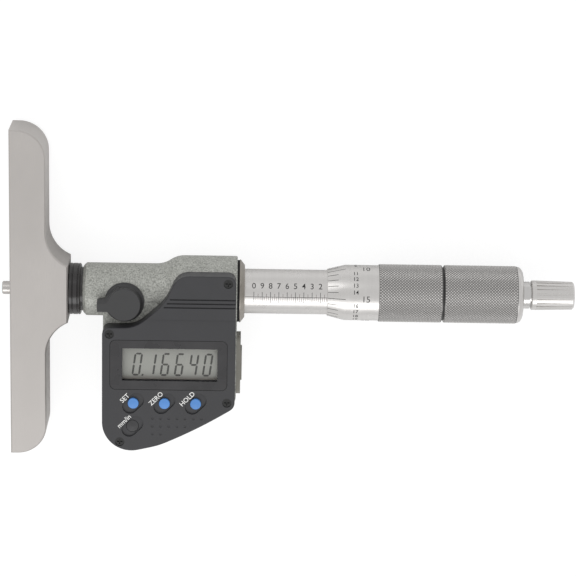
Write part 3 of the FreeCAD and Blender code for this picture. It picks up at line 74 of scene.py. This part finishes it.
class Look:
    """A node material built step by step on its Principled shader."""

    def __init__(self, name, color, rough, metal=0.0, specular=0.5, coat=0.0):
        self.mat = bpy.data.materials.new(name)
        self.mat.use_nodes = True
        self.tree = self.mat.node_tree
        self.shader = self.tree.nodes["Principled BSDF"]
        self.color = color
        self.shader.inputs["Base Color"].default_value = (*color, 1)
        self.shader.inputs["Roughness"].default_value = rough
        self.shader.inputs["Metallic"].default_value = metal
        self.shader.inputs["Specular IOR Level"].default_value = specular
        self.shader.inputs["Coat Weight"].default_value = coat
        self.shader.inputs["Coat Roughness"].default_value = 0.12
        self.place = self.add("TexCoord").outputs["Object"]

    def add(self, kind, **settings):
        node = self.tree.nodes.new("ShaderNode" + kind)
        for key, value in settings.items():
            if hasattr(node, key):
                setattr(node, key, value)
            else:
                node.inputs[key].default_value = value
        return node

    def join(self, start, end):
        self.tree.links.new(start, end)

    def stretched(self, scale):
        """Object coordinates in millimetres, stretched along each axis."""
        mapping = self.add("Mapping")
        mapping.inputs["Scale"].default_value = [s / MM for s in scale]
        self.join(self.place, mapping.inputs["Vector"])
        return mapping.outputs["Vector"]

    def noise(self, scale, detail=2.0, rough=0.5):
        node = self.add("TexNoise")
        node.inputs["Scale"].default_value = 1.0
        node.inputs["Detail"].default_value = detail
        node.inputs["Roughness"].default_value = rough
        self.join(self.stretched(scale), node.inputs["Vector"])
        return node.outputs["Fac"]

    def ramp(self, value, low, high, start=0.0, end=1.0):
        node = self.add("MapRange", clamp=True)
        self.join(value, node.inputs["Value"])
        for key, number in (("From Min", start), ("From Max", end), ("To Min", low), ("To Max", high)):
            node.inputs[key].default_value = number
        return node.outputs["Result"]

    def tint(self, value, low, high, start=0.3, end=0.7):
        """Shade the colour between two shares of itself, or between two colours."""
        mix = self.add("Mix", data_type="RGBA")
        ends = [(*[c * k for c in self.color], 1) if isinstance(k, float) else (*k, 1) for k in (low, high)]
        mix.inputs[6].default_value, mix.inputs[7].default_value = ends
        self.join(self.ramp(value, 0.0, 1.0, start, end), mix.inputs[0])
        self.join(mix.outputs[2], self.shader.inputs["Base Color"])
        return mix

    def over(self, mix, value, color, start=0.4, end=0.6):
        """Lay a second colour over a tint where value is high."""
        top = self.add("Mix", data_type="RGBA")
        self.join(mix.outputs[2], top.inputs[6])
        top.inputs[7].default_value = (*color, 1)
        self.join(self.ramp(value, 0.0, 1.0, start, end), top.inputs[0])
        self.join(top.outputs[2], self.shader.inputs["Base Color"])
        return top

    def roughen(self, value, low, high, start=0.3, end=0.7):
        self.join(self.ramp(value, low, high, start, end), self.shader.inputs["Roughness"])

    def bump(self, value, depth, strength=1.0, under=None):
        node = self.add("Bump")
        node.inputs["Strength"].default_value = strength
        node.inputs["Distance"].default_value = depth * MM
        self.join(value, node.inputs["Height"])
        if under:
            self.join(under, node.inputs["Normal"])
        self.join(node.outputs["Normal"], self.shader.inputs["Normal"])
        return node.outputs["Normal"]

    def radius(self):
        """Distance from the X axis in millimetres."""
        split = self.add("SeparateXYZ")
        self.join(self.stretched((1, 1, 1)), split.inputs[0])
        flat = self.add("CombineXYZ")
        self.join(split.outputs["Y"], flat.inputs["Y"])
        self.join(split.outputs["Z"], flat.inputs["Z"])
        length = self.add("VectorMath", operation="LENGTH")
        self.join(flat.outputs[0], length.inputs[0])
        return length.outputs["Value"]


def turned_metal(name, color, rough, lines=14.0, metal=1.0):
    """Turned metal: fine rings round the X axis, with faint patches of sheen."""
    look = Look(name, color, rough, metal)
    rings = look.noise((lines, 0.02, 0.02), 3.0, 0.7)
    patch = look.noise((0.25, 0.25, 0.25), 2.0)
    look.tint(rings, 0.90, 1.04)
    look.roughen(patch, rough * 0.85, rough * 1.2)
    look.bump(rings, 0.004)
    return look.mat


def ground_metal(name, color, rough, scale=(9.0, 0.25, 9.0), metal=1.0):
    """Ground metal: short fine scratches along one direction."""
    look = Look(name, color, rough, metal)
    lines = look.noise(scale, 4.0, 0.65)
    cloud = look.noise((0.06, 0.04, 0.06), 3.0)
    mix = look.tint(lines, 0.93, 1.05)
    look.over(mix, cloud, [c * 0.93 for c in color], 0.35, 0.75)
    look.roughen(lines, rough * 0.9, rough * 1.15)
    look.bump(lines, 0.003)
    return look.mat


def hammered_paint():
    """The casting's hammered paint: raised light cells in a darker net, with a soft gloss."""
    look = Look("hammered_paint", (0.36, 0.365, 0.335), 0.42, metal=0.25)
    cells = look.noise((2.1, 2.1, 2.1), 3.0, 0.62)
    fine = look.noise((5.5, 5.5, 5.5), 2.0, 0.6)
    mix = look.tint(cells, (0.225, 0.23, 0.21), (0.47, 0.475, 0.44), 0.36, 0.62)
    look.over(mix, fine, (0.62, 0.63, 0.60), 0.60, 0.85)
    look.roughen(cells, 0.5, 0.32)
    first = look.bump(cells, 0.05, 0.8)
    look.bump(fine, 0.02, 0.6, first)
    return look.mat


def moulded_plastic(name, color, rough, grain=0.012, coat=0.0):
    """Moulded plastic with a fine grain and slight wear."""
    look = Look(name, color, rough, coat=coat)
    fine = look.noise((7.0, 7.0, 7.0), 3.0, 0.6)
    cloud = look.noise((0.12, 0.12, 0.12), 3.0)
    mix = look.tint(fine, 0.88, 1.12)
    look.over(mix, cloud, [c * 1.15 for c in color], 0.45, 0.8)
    look.roughen(cloud, rough * 0.9, rough * 1.1)
    look.bump(fine, grain)
    return look.mat


def soft_rubber(name, color):
    look = Look(name, color, 0.75, specular=0.3)
    dust = look.noise((3.0, 3.0, 3.0), 4.0)
    look.tint(dust, 0.8, 1.3)
    look.bump(dust, 0.01)
    return look.mat


def knurled_metal():
    """The knurl's metal: painted shade darkens the grooves and a painted highlight lightens the crests."""
    look = Look("knurled_chrome_groove_shade", (0.66, 0.645, 0.63), 0.34, metal=1.0)
    depth = look.radius()
    # Painted shade deep in the grooves and a painted highlight on the crests, both set by the radius.
    mix = look.tint(depth, (0.20, 0.195, 0.19), (0.72, 0.705, 0.69), KNURL_ROOT + 0.01, KNURL_CREST - 0.03)
    patch = look.noise((1.3, 1.3, 1.3), 3.0)
    look.over(mix, patch, (0.60, 0.585, 0.57), 0.62, 0.95)
    look.roughen(patch, 0.3, 0.42)
    return look.mat


WINDOW_MARGIN = 0.8          # how far the dark print covers the display's edge
CLEAR_ALPHA = 0.14           # how dense the window is over the display


def tinted_window():
    """The window: clear over the display, and printed dark on its underside round it."""
    look = Look("tinted_window", (0.030, 0.029, 0.031), 0.3)
    low, high = span("display_glass")
    centre, half = (low + high) / 2, (high - low) / 2 - Vector((WINDOW_MARGIN, WINDOW_MARGIN, 0))
    split = look.add("SeparateXYZ")
    look.join(look.stretched((1, 1, 1)), split.inputs[0])
    inside = []
    for axis, middle, reach in (("X", centre.x, half.x), ("Y", centre.y, half.y)):
        away = look.add("Math", operation="SUBTRACT")
        look.join(split.outputs[axis], away.inputs[0])
        away.inputs[1].default_value = middle
        size = look.add("Math", operation="ABSOLUTE")
        look.join(away.outputs[0], size.inputs[0])
        inside.append(look.ramp(size.outputs[0], 1.0, 0.0, reach - 0.05, reach + 0.05))
    both = look.add("Math", operation="MULTIPLY")
    look.join(inside[0], both.inputs[0])
    look.join(inside[1], both.inputs[1])
    look.join(look.ramp(both.outputs[0], 1.0, CLEAR_ALPHA), look.shader.inputs["Alpha"])
    smear = look.noise((0.2, 0.2, 0.2), 2.0)
    look.roughen(smear, 0.25, 0.34)
    look.tint(smear, 0.9, 1.1)
    return look.mat


# Painted light on the display: a painted shadow darkens its lower edge and a painted highlight brightens its
# upper edge.
PAINTED_SHADOW_SPAN = (-25.2, -23.9)  # Y over which the display's lower edge lightens
PAINTED_HIGHLIGHT_SPAN = (-15.5, -15.0)   # and over which its upper edge brightens


def liquid_crystal():
    """The display: pale grey-green, with a painted shadow along its lower edge and a painted highlight along its
    upper one.
    """
    look = Look("liquid_crystal", (0.56, 0.565, 0.52), 0.3)
    split = look.add("SeparateXYZ")
    look.join(look.stretched((1, 1, 1)), split.inputs[0])
    # Painted shadow along the lower edge, then a painted highlight along the upper edge.
    mix = look.tint(split.outputs["Y"], (0.36, 0.33, 0.29), (0.56, 0.565, 0.52), *PAINTED_SHADOW_SPAN)
    look.over(mix, split.outputs["Y"], (0.72, 0.73, 0.69), *PAINTED_HIGHLIGHT_SPAN)
    grain = look.noise((4.0, 4.0, 4.0), 2.0)
    look.roughen(grain, 0.28, 0.36)
    return look.mat


# ---------------------------------------------------------------- mesh helpers

def new_piece(name, verts, faces, mat, body, smooth=None):
    """A mesh piece from millimetre vertices that rides on a body."""
    mesh = bpy.data.meshes.new(name)
    mesh.from_pydata([[c * MM for c in v] for v in verts], [], faces)
    work = bmesh.new()
    work.from_mesh(mesh)
    bmesh.ops.recalc_face_normals(work, faces=work.faces)
    work.to_mesh(mesh)
    work.free()
    mesh.materials.append(mat)
    piece = bpy.data.objects.new(name, mesh)
    bpy.context.scene.collection.objects.link(piece)
    if smooth is not None:
        mesh.polygons.foreach_set("use_smooth", [True] * len(mesh.polygons))
        mesh.set_sharp_from_angle(angle=math.radians(smooth))
    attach(piece, body)
    return piece


def turned_point(x, radius, angle):
    """A point round the X axis. Angle 0 faces up (+Z) and grows towards +Y."""
    return (x, radius * math.sin(angle), radius * math.cos(angle))


class Batch:
    """Many small closed shapes gathered into one piece."""

    def __init__(self):
        self.verts = []
        self.faces = []

    def add(self, verts, faces):
        start = len(self.verts)
        self.verts += verts
        self.faces += [[i + start for i in face] for face in faces]

    def arc_box(self, x0, x1, a0, a1, surface, steps=4):
        """A thin curved bar on a surface of revolution, from x0 to x1 and from angle a0 to a1."""
        verts = []
        for k in range(steps + 1):
            angle = a0 + (a1 - a0) * k / steps
            for x in (x0, x1):
                for lift in (-SUNK, INK):
                    verts.append(turned_point(x, surface(x) + lift, angle))
        faces = [(0, 1, 3, 2), tuple(4 * steps + i for i in (0, 2, 3, 1))]
        for k in range(steps):
            a, b = 4 * k, 4 * k + 4
            for p, q in ((0, 1), (1, 3), (3, 2), (2, 0)):
                faces.append((a + p, a + q, b + q, b + p))
        self.add(verts, faces)

    def prism(self, outline, low, high):
        """A flat shape raised from low to high along Z."""
        n = len(outline)
        verts = [(x, y, z) for z in (low, high) for x, y in outline]
        faces = [tuple(range(n)), tuple(range(n, 2 * n))]
        faces += [(i, (i + 1) % n, n + (i + 1) % n, n + i) for i in range(n)]
        self.add(verts, faces)

    def text(self, words, height, place, bold=0.0, cuts=0):
        """Letters of a given height, each point set in place by a function of (x, y, up)."""
        curve = bpy.data.curves.new("letters", "FONT")
        curve.body = words
        curve.align_x = "CENTER"
        curve.align_y = "CENTER"
        curve.size = height * FONT_SIZE
        curve.extrude = (INK + SUNK) / 2
        curve.offset = bold
        curve.resolution_u = 3
        holder = bpy.data.objects.new("letters", curve)
        bpy.context.scene.collection.objects.link(holder)
        bpy.context.view_layer.update()
        mesh = bpy.data.meshes.new_from_object(holder.evaluated_get(bpy.context.evaluated_depsgraph_get()))
        bpy.data.objects.remove(holder)
        work = bmesh.new()
        work.from_mesh(mesh)
        bmesh.ops.remove_doubles(work, verts=work.verts, dist=1e-5)
        for k in range(cuts):
            level = height * (k - (cuts - 1) / 2) / cuts
            geometry = work.verts[:] + work.edges[:] + work.faces[:]
            bmesh.ops.bisect_plane(work, geom=geometry, plane_co=(0, level, 0), plane_no=(0, 1, 0))
        work.verts.ensure_lookup_table()
        lift = (INK - SUNK) / 2
        verts = [place(v.co.x, v.co.y, v.co.z + lift) for v in work.verts]
        self.add(verts, [[v.index for v in f.verts] for f in work.faces])
        work.free()
        bpy.data.meshes.remove(mesh)

    def piece(self, name, mat, body, slot):
        return new_piece(name, self.verts, self.faces, mat, body)


# ---------------------------------------------------------------- thimble and cap, with their knurls

KNURL_COUNT = 124                      # columns of half diamonds round the band
KNURL_CREST = span("thimble")[1].z
KNURL_ROOT = KNURL_CREST - 0.21
KNURL_STEP = 2 * math.pi * KNURL_CREST / KNURL_COUNT

EDGE = 0.06                            # break of a turned edge
LIP_RADIUS, PLAIN_RADIUS = 7.17, 8.53  # the bevel's front edge, and the plain length behind it
BEVEL_LENGTH, PLAIN_LENGTH = 5.5, 10.2
BAND_SHOULDER = 8.6                    # radius where the front knurl begins
THIMBLE_REAR = 8.45                    # outer radius of its rear end
THIMBLE_BORE = 6.93
WEB_START, WEB_END = 28.89, 32.49      # the inner web that sits on the spindle's taper, from the lip
TAPER_WIDE, TAPER_NARROW = 4.62, 4.27
SOCKET_RADIUS, SPIGOT_RADIUS = 7.4, 7.38   # thimble and cap where one enters the other
GROOVE_RADIUS, GROOVE_LENGTH = 8.2, 0.6    # the dark groove between them
CAP_FRONT = 8.5
CAP_BORE, CAP_BORE_LENGTH, CAP_HOLE = 5.5, 11.0, 3.0
NOSE_LENGTH, NOSE_DROP = 1.85, 2.0
NOSE_DEGREES, NOSE_STEPS = 84, 8


def knurled_turning(name, before, band, after, mat, band_mat, body):
    """A turned piece about X whose outside holds a diamond knurl between the two x of band.

    before and after are the (x, radius) corners that lead up to the band and away from it.
    """
    rows = 2 * round((band[1] - band[0]) / KNURL_STEP / 2)
    rings = [(x, r, None) for x, r in before]
    for j in range(rows + 1):
        rings.append((band[0] + (band[1] - band[0]) * j / rows, KNURL_ROOT, j))
    rings += [(x, r, None) for x, r in after]
    first = len(before)
    verts = []
    for x, radius, row in rings:
        for i in range(KNURL_COUNT):
            crest = row is not None and 0 < row < rows and (i + row) % 2
            lift = KNURL_CREST - KNURL_ROOT if crest else 0.0
            verts.append(turned_point(x, radius + lift, 2 * math.pi * i / KNURL_COUNT))
    faces, knurl = [], []
    for j in range(len(rings)):
        following = (j + 1) % len(rings)
        banded = first <= j < first + rows
        for i in range(KNURL_COUNT):
            k = (i + 1) % KNURL_COUNT
            a, b = j * KNURL_COUNT + i, j * KNURL_COUNT + k
            c, d = following * KNURL_COUNT + k, following * KNURL_COUNT + i
            if not banded:
                faces.append((a, b, c, d))
            elif (i + j - first) % 2:
                faces += [(a, b, d), (b, c, d)]
            else:
                faces += [(a, b, c), (a, c, d)]
        knurl += [banded] * (len(faces) - len(knurl))
    piece = new_piece(name, verts, faces, mat, body, smooth=30)
    piece.data.materials.append(band_mat)
    for face, on in zip(piece.data.polygons, knurl):
        if on:
            face.material_index = 1
            face.use_smooth = False
    return piece


def make_thimble(chrome, knurl, dark):
    """The thimble, its cap and a black band in the groove between them, partly their dark ring and partly painted
    shade.
    """
    low, high = span("thimble")
    bevel_end = low.x + BEVEL_LENGTH
    band = bevel_end + PLAIN_LENGTH
    web_start, web_end = low.x + WEB_START, low.x + WEB_END
    inside = [(low.x, THIMBLE_BORE), (web_start, THIMBLE_BORE), (web_start, TAPER_WIDE),
              (web_end, TAPER_NARROW), (web_end, SOCKET_RADIUS), (high.x, SOCKET_RADIUS)]
    after = [(high.x, THIMBLE_REAR)] + inside[::-1] + [(low.x, LIP_RADIUS - EDGE), (low.x + EDGE, LIP_RADIUS)]
    before = [(bevel_end, PLAIN_RADIUS), (band, PLAIN_RADIUS), (band + 0.05, BAND_SHOULDER)]
    thimble = knurled_turning("thimble_turned", before, (band + 0.1, high.x - EDGE), after,
                              chrome, knurl, "thimble")
    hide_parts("thimble")
    start, end = span("thimble_cap")
    nose_start = end.x - NOSE_LENGTH
    full = math.radians(NOSE_DEGREES)
    nose = []
    for k in range(1, NOSE_STEPS + 1):
        angle = math.radians(NOSE_DEGREES * k / NOSE_STEPS)
        nose.append((end.x - NOSE_LENGTH + NOSE_LENGTH * math.sin(angle) / math.sin(full),
                     KNURL_ROOT - NOSE_DROP * (1 - math.cos(angle)) / (1 - math.cos(full))))
    groove = high.x + GROOVE_LENGTH
    bore_end = start.x + CAP_BORE_LENGTH
    inside = [(end.x, CAP_HOLE), (bore_end, CAP_HOLE), (bore_end, CAP_BORE), (start.x, CAP_BORE),
              (start.x, SPIGOT_RADIUS), (high.x, SPIGOT_RADIUS), (high.x, GROOVE_RADIUS), (groove, GROOVE_RADIUS)]
    cap = knurled_turning("cap_turned", [(groove, CAP_FRONT)], (groove + EDGE, nose_start), nose + inside,
                          chrome, knurl, "thimble")
    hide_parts("thimble_cap")
    ring = Batch()
    # A black band in the groove: partly the dark ring there, partly painted shade of the groove.
    ring.arc_box(high.x, groove, 0, REVOLUTION, lambda x: GROOVE_RADIUS, 96)
    ring.piece("cap_groove_dark_and_shade", dark, "thimble", "black_oxide")


# ---------------------------------------------------------------- graduations

DIVISIONS = 25
PITCH = 2.54                                    # one numbered division of the sleeve
INDEX_READING = 15                              # the thimble line that meets the index

ZERO_AHEAD = 1.15                               # divisions from the thimble's lip to the sleeve's zero
INDEX_HALF_WIDTH = 0.065
SLEEVE_FIGURE, SLEEVE_FIGURE_RISE = 1.85, 3.35  # height of its numbers, and their distance from the index

LINE_HALF_WIDTH = 0.07                          # on the thimble
LONG_LINE, SHORT_LINE = 5.5, 3.3
LARGE_FIGURE, SMALL_FIGURE = 2.0, 1.3
LARGE_PLACE, SMALL_PLACE = 11.75, 8.6           # from the lip to the middle of a number


def wrap(x, angle, surface):
    """Sets text on a surface of revolution, reading along +X, centred at x and angle."""
    def place(across, up, lift):
        where = x + across
        radius = surface(where)
        return turned_point(where, radius + lift, angle + up / radius)
    return place


def make_sleeve_marks(ink, fine_ink):
    """The sleeve's index line, its ticks above and below, and its numbers."""
    low, high = span("sleeve")
    radius = high.z
    nut_end = span("sleeve_nut")[1].x
    thimble_edge = span("thimble")[0].x
    zero = thimble_edge + ZERO_AHEAD * PITCH          # where the line for a reading of 0 lies
    marks, light = Batch(), Batch()
    half = INDEX_HALF_WIDTH / radius

    def surface(x):
        return radius

    marks.arc_box(nut_end + 0.15, high.x, -half, half, surface, 1)
    for k in range(41):
        x = zero - k * PITCH / 4
        if x > high.x - 0.1:
            continue
        main = k % 4 == 0
        below = 1.95 if main else 1.6
        batch = marks if main else light
        wide = 0.075 if main else 0.055
        batch.arc_box(x - wide, x + wide, -below / radius, -half, surface)
        if k % 2 == 0:
            above = 1.55 if main else 1.0
            batch.arc_box(x - wide, x + wide, half, above / radius, surface)
    for k in range(1, 11):
        x = zero - k * PITCH
        if x > high.x - 1:
            continue
        digit = str(k % 10)
        marks.text(digit, SLEEVE_FIGURE, wrap(x, SLEEVE_FIGURE_RISE / radius, surface), bold=0.01, cuts=8)
    marks.piece("sleeve_graduations", ink, "frame", "black_oxide")
    light.piece("sleeve_fine_graduations", fine_ink, "frame", "black_oxide")


def make_thimble_marks(ink):
    """The thimble's 25 lines on its bevel, and a number for each."""
    low, _ = span("thimble")

    def surface(x):
        return min(PLAIN_RADIUS, LIP_RADIUS + (PLAIN_RADIUS - LIP_RADIUS) * (x - low.x) / BEVEL_LENGTH)

    marks = Batch()
    for k in range(DIVISIONS):
        angle = -(k - INDEX_READING) * REVOLUTION / DIVISIONS
        main = k % 5 == 0
        length = LONG_LINE if main else SHORT_LINE
        half = LINE_HALF_WIDTH / LIP_RADIUS
        marks.arc_box(low.x + 0.12, low.x + length, angle - half, angle + half, surface, 1)
        if main:
            marks.text(str(k), LARGE_FIGURE, wrap(low.x + LARGE_PLACE, angle, surface), bold=-0.004, cuts=8)
        else:
            marks.text(str(k), SMALL_FIGURE, wrap(low.x + SMALL_PLACE, angle, surface), bold=0.02, cuts=6)
    marks.piece("thimble_graduations", ink, "thimble", "black_oxide")


# ---------------------------------------------------------------- display digits and print

SEGMENTS = {"0": "abcdef", "1": "bc", "4": "fgbc", "6": "afgedc"}
READING = "016640"
DIGIT_WIDTH, DIGIT_HEIGHT, DIGIT_STROKE = 2.6, 7.3, 0.6
DIGIT_STEP = 4.3
DIGIT_LEFT, DIGIT_BELOW = 3.55, 1.8             # the first digit's corner, from the display glass's
DOT = 0.55                                      # side of the decimal point


def segment_outlines(width, height, stroke):
    """Each segment of a digit as a pointed bar, from the digit's lower left corner."""
    gap = stroke * 0.16
    half = stroke / 2
    mid = height / 2

    def level(y):
        return [(gap + half, y), (stroke + gap, y + half), (width - stroke - gap, y + half),
                (width - gap - half, y), (width - stroke - gap, y - half), (stroke + gap, y - half)]

    def upright(x, y0, y1):
        return [(x, y0 + gap), (x + half, y0 + half + gap), (x + half, y1 - half - gap), (x, y1 - gap),
                (x - half, y1 - half - gap), (x - half, y0 + half + gap)]

    left, right = half, width - half
    return {"a": level(height - half), "g": level(mid), "d": level(half),
            "f": upright(left, mid, height - half), "e": upright(left, half, mid),
            "b": upright(right, mid, height - half), "c": upright(right, half, mid)}


def make_digits(mat):
    """The reading on the display: slanted seven-segment digits."""
    low, high = span("display_glass")
    slant = math.tan(math.radians(8))
    base_y = low.y + DIGIT_BELOW
    starts = [low.x + DIGIT_LEFT + DIGIT_STEP * k for k in range(len(READING))]
    outlines = segment_outlines(DIGIT_WIDTH, DIGIT_HEIGHT, DIGIT_STROKE)
    digits = Batch()
    for start, character in zip(starts, READING):
        for name in SEGMENTS[character]:
            shape = [(start + x + y * slant, base_y + y) for x, y in outlines[name]]
            digits.prism(shape, high.z - SUNK, high.z + INK)
    dot = starts[0] + DIGIT_WIDTH + 0.5
    point = [(dot, base_y), (dot + DOT, base_y), (dot + 0.63, base_y + DOT), (dot + 0.08, base_y + DOT)]
    digits.prism(point, high.z - SUNK, high.z + INK)
    digits.piece("display_digits", mat, "frame", "black_plastic")


LABEL_HEIGHT = 1.5
LABEL_LEFT, LABEL_ABOVE = 2.55, 1.55            # from a button's middle to its word's


def make_print(mat):
    """The white words beside the buttons, rising at 45 degrees."""
    face = span("window_lens")[1].z
    turn = math.radians(45)

    def slanted(x, y):
        def place(across, up, lift):
            return (x + across * math.cos(turn) - up * math.sin(turn),
                    y + across * math.sin(turn) + up * math.cos(turn), face + lift)
        return place

    words = Batch()
    for button, label in (("set_button", "SET"), ("zero_button", "ZERO"), ("hold_button", "HOLD"),
                          ("unit_button", "mm/in")):
        low, high = span(button)
        x, y = (low.x + high.x) / 2 - LABEL_LEFT, (low.y + high.y) / 2 + LABEL_ABOVE
        words.text(label, LABEL_HEIGHT, slanted(x, y), bold=0.012)
    words.piece("button_labels", mat, "frame", "white_plastic")


# ---------------------------------------------------------------- build

chrome = turned_metal("satin_chrome_turned", (0.66, 0.645, 0.63), 0.3)
knurl = knurled_metal()
ink = moulded_plastic("black_ink", (0.012, 0.011, 0.011), 0.5, 0.002)
fine_ink = moulded_plastic("fine_ink", (0.10, 0.06, 0.06), 0.5, 0.002)
make_thimble(chrome, knurl, ink)
make_sleeve_marks(ink, fine_ink)
make_thimble_marks(ink)
make_digits(moulded_plastic("digit_ink", (0.11, 0.11, 0.10), 0.5, 0.002))
make_print(moulded_plastic("white_print", (0.82, 0.82, 0.80), 0.5, 0.002))

steel = ground_metal("inner_steel", (0.55, 0.54, 0.53), 0.3, (6.0, 6.0, 6.0))
LOOKS = {
    ground_metal("base_steel", (0.50, 0.475, 0.455), 0.42, metal=0.75): ["base"],
    Look("black_oxide_gloss", (0.012, 0.010, 0.010), 0.22, coat=0.3).mat: ["stem", "lock_ring"],
    turned_metal("rod_steel", (0.56, 0.54, 0.52), 0.3, 9.0): ["measuring_rod", "ratchet_screw"],
    hammered_paint(): ["frame"],
    moulded_plastic("lever_enamel", (0.034, 0.034, 0.035), 0.5, 0.006): ["lock_lever"],
    chrome: ["sleeve", "ratchet_knob"],
    turned_metal("polished_neck", (0.62, 0.61, 0.60), 0.16): ["ratchet_body"],
    turned_metal("ring_steel", (0.36, 0.335, 0.30), 0.38, metal=0.85): ["sleeve_nut"],
    soft_rubber("black_seal", (0.012, 0.012, 0.012)): ["nut_seal", "housing_gasket", "battery_seal"],
    moulded_plastic("housing_plastic", (0.030, 0.030, 0.033), 0.45): ["display_housing"],
    tinted_window(): ["window_lens"],
    liquid_crystal(): ["display_glass"],
    moulded_plastic("white_tray", (0.7, 0.7, 0.68), 0.5): ["display_tray"],
    moulded_plastic("board", (0.03, 0.16, 0.07), 0.4): ["circuit_board"],
    soft_rubber("pad_rubber", (0.2, 0.2, 0.21)): ["key_pad"],
    moulded_plastic("blue_button", (0.075, 0.235, 0.58), 0.32, 0.003, 0.3):
        ["set_button", "zero_button", "hold_button"],
    moulded_plastic("black_button", (0.02, 0.02, 0.022), 0.35, 0.003, 0.3): ["unit_button", "output_socket"],
    ground_metal("black_screws", (0.05, 0.05, 0.05), 0.32, (4.0, 4.0, 4.0)): ["housing_screws", "cover_screws"],
    moulded_plastic("cover_plastic", (0.25, 0.24, 0.21), 0.5): ["connector_cover", "battery_cap"],
    turned_metal("bronze", (0.55, 0.38, 0.20), 0.35): ["lock_bush", "encoder_bearing", "battery_contact"],
    moulded_plastic("encoder_disc", (0.45, 0.32, 0.12), 0.3): ["encoder_stator", "encoder_rotor"],
    steel: ["rod_nut", "rod_lock_nut", "lock_screw", "spindle", "rotor_key", "rotor_clip", "barrel", "taper_nut",
            "ratchet_wheel", "ratchet_spring", "battery"],
}
for mat, names in LOOKS.items():
    for name in names:
        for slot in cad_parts[name].material_slots:
            slot.material = mat


# ---------------------------------------------------------------- floor, light and camera

def aim(thing, place, target):
    thing.location = Vector(place) * MM
    thing.rotation_euler = (Vector(target) * MM - thing.location).to_track_quat("-Z", "Y").to_euler()


def softbox(name, place, target, width, height, power):
    lamp = bpy.data.lights.new(name, "AREA")
    lamp.shape = "RECTANGLE"
    lamp.size, lamp.size_y = width * MM, height * MM
    lamp.energy = power
    holder = bpy.data.objects.new(name, lamp)
    bpy.context.scene.collection.objects.link(holder)
    aim(holder, place, target)


def shown_white(tree, lit):
    """A background that lights as usual, but is plain white to the camera and through glass."""
    path = tree.nodes.new("ShaderNodeLightPath")
    either = tree.nodes.new("ShaderNodeMath")
    either.operation = "MAXIMUM"
    tree.links.new(path.outputs["Is Camera Ray"], either.inputs[0])
    tree.links.new(path.outputs["Is Transmission Ray"], either.inputs[1])
    white = tree.nodes.new("ShaderNodeBackground")
    white.inputs["Strength"].default_value = 1.0
    white.inputs["Color"].default_value = (1, 1, 1, 1)
    mix = tree.nodes.new("ShaderNodeMixShader")
    tree.links.new(either.outputs[0], mix.inputs[0])
    tree.links.new(lit, mix.inputs[1])
    tree.links.new(white.outputs[0], mix.inputs[2])
    return mix.outputs[0]


FLOOR_REACH = 1500    # half the floor's side, mm
FLOOR_GLOW = 0.75     # how much of the floor is its own white to the camera
GLOW_STRENGTH = 1.12


def make_floor():
    mesh = bpy.data.meshes.new("floor")
    reach, level = FLOOR_REACH * MM, cad_low[2]
    corners = [(-reach, -reach, level), (reach, -reach, level), (reach, reach, level), (-reach, reach, level)]
    mesh.from_pydata(corners, [], [(0, 1, 2, 3)])
    floor = bpy.data.objects.new("floor", mesh)
    bpy.context.scene.collection.objects.link(floor)
    look = Look("floor", (0.93, 0.93, 0.93), 0.7, specular=0.2)
    cloud = look.noise((0.01, 0.01, 0.01), 2.0)
    look.tint(cloud, 0.99, 1.0)
    lit = look.shader.outputs[0]
    path = look.add("LightPath")
    share = look.add("Math", operation="MULTIPLY")
    look.join(path.outputs["Is Camera Ray"], share.inputs[0])
    share.inputs[1].default_value = FLOOR_GLOW
    glow = look.add("Emission", Strength=GLOW_STRENGTH)
    mix = look.add("MixShader")
    look.join(share.outputs[0], mix.inputs[0])
    look.join(lit, mix.inputs[1])
    look.join(glow.outputs[0], mix.inputs[2])
    look.join(mix.outputs[0], look.tree.nodes["Material Output"].inputs["Surface"])
    mesh.materials.append(look.mat)


def make_world():
    world = bpy.data.worlds.new("studio")
    bpy.context.scene.world = world
    world.use_nodes = True
    tree = world.node_tree
    backdrop = tree.nodes["Background"]
    backdrop.inputs["Color"].default_value = (0.80, 0.80, 0.80, 1)
    backdrop.inputs["Strength"].default_value = 1.0
    tree.links.new(shown_white(tree, backdrop.outputs[0]), tree.nodes["World Output"].inputs["Surface"])


SENSOR = 36.0
FOCAL, FRAME_WIDTH = 2603.7, 576      # the focal length and the frame's width, both in pixels
CAMERA_PLACE = (69.80, 206.70, 773.90)
CAMERA_TURNS = (-1.109, -14.873, 1.134)   # degrees about Y, X and Z


def make_camera():
    lens = bpy.data.cameras.new("camera")
    lens.sensor_width = SENSOR
    lens.lens = SENSOR * FOCAL / FRAME_WIDTH
    lens.clip_start, lens.clip_end = 0.05, 10.0
    camera = bpy.data.objects.new("camera", lens)
    bpy.context.scene.collection.objects.link(camera)
    yaw, pitch, roll = (math.radians(a) for a in CAMERA_TURNS)
    turn = Matrix.Rotation(yaw, 3, "Y") @ Matrix.Rotation(pitch, 3, "X") @ Matrix.Rotation(roll, 3, "Z")
    camera.rotation_euler = turn.to_euler()
    camera.location = Vector(CAMERA_PLACE) * MM
    bpy.context.scene.camera = camera


make_floor()
make_world()
make_camera()
softbox("key", (60, -480, 520), (70, 0, 0), 620, 380, 1.3)
softbox("fill", (-260, 420, 420), (60, 0, 0), 420, 320, 0.5)
bpy.context.scene.view_settings.view_transform = "Standard"
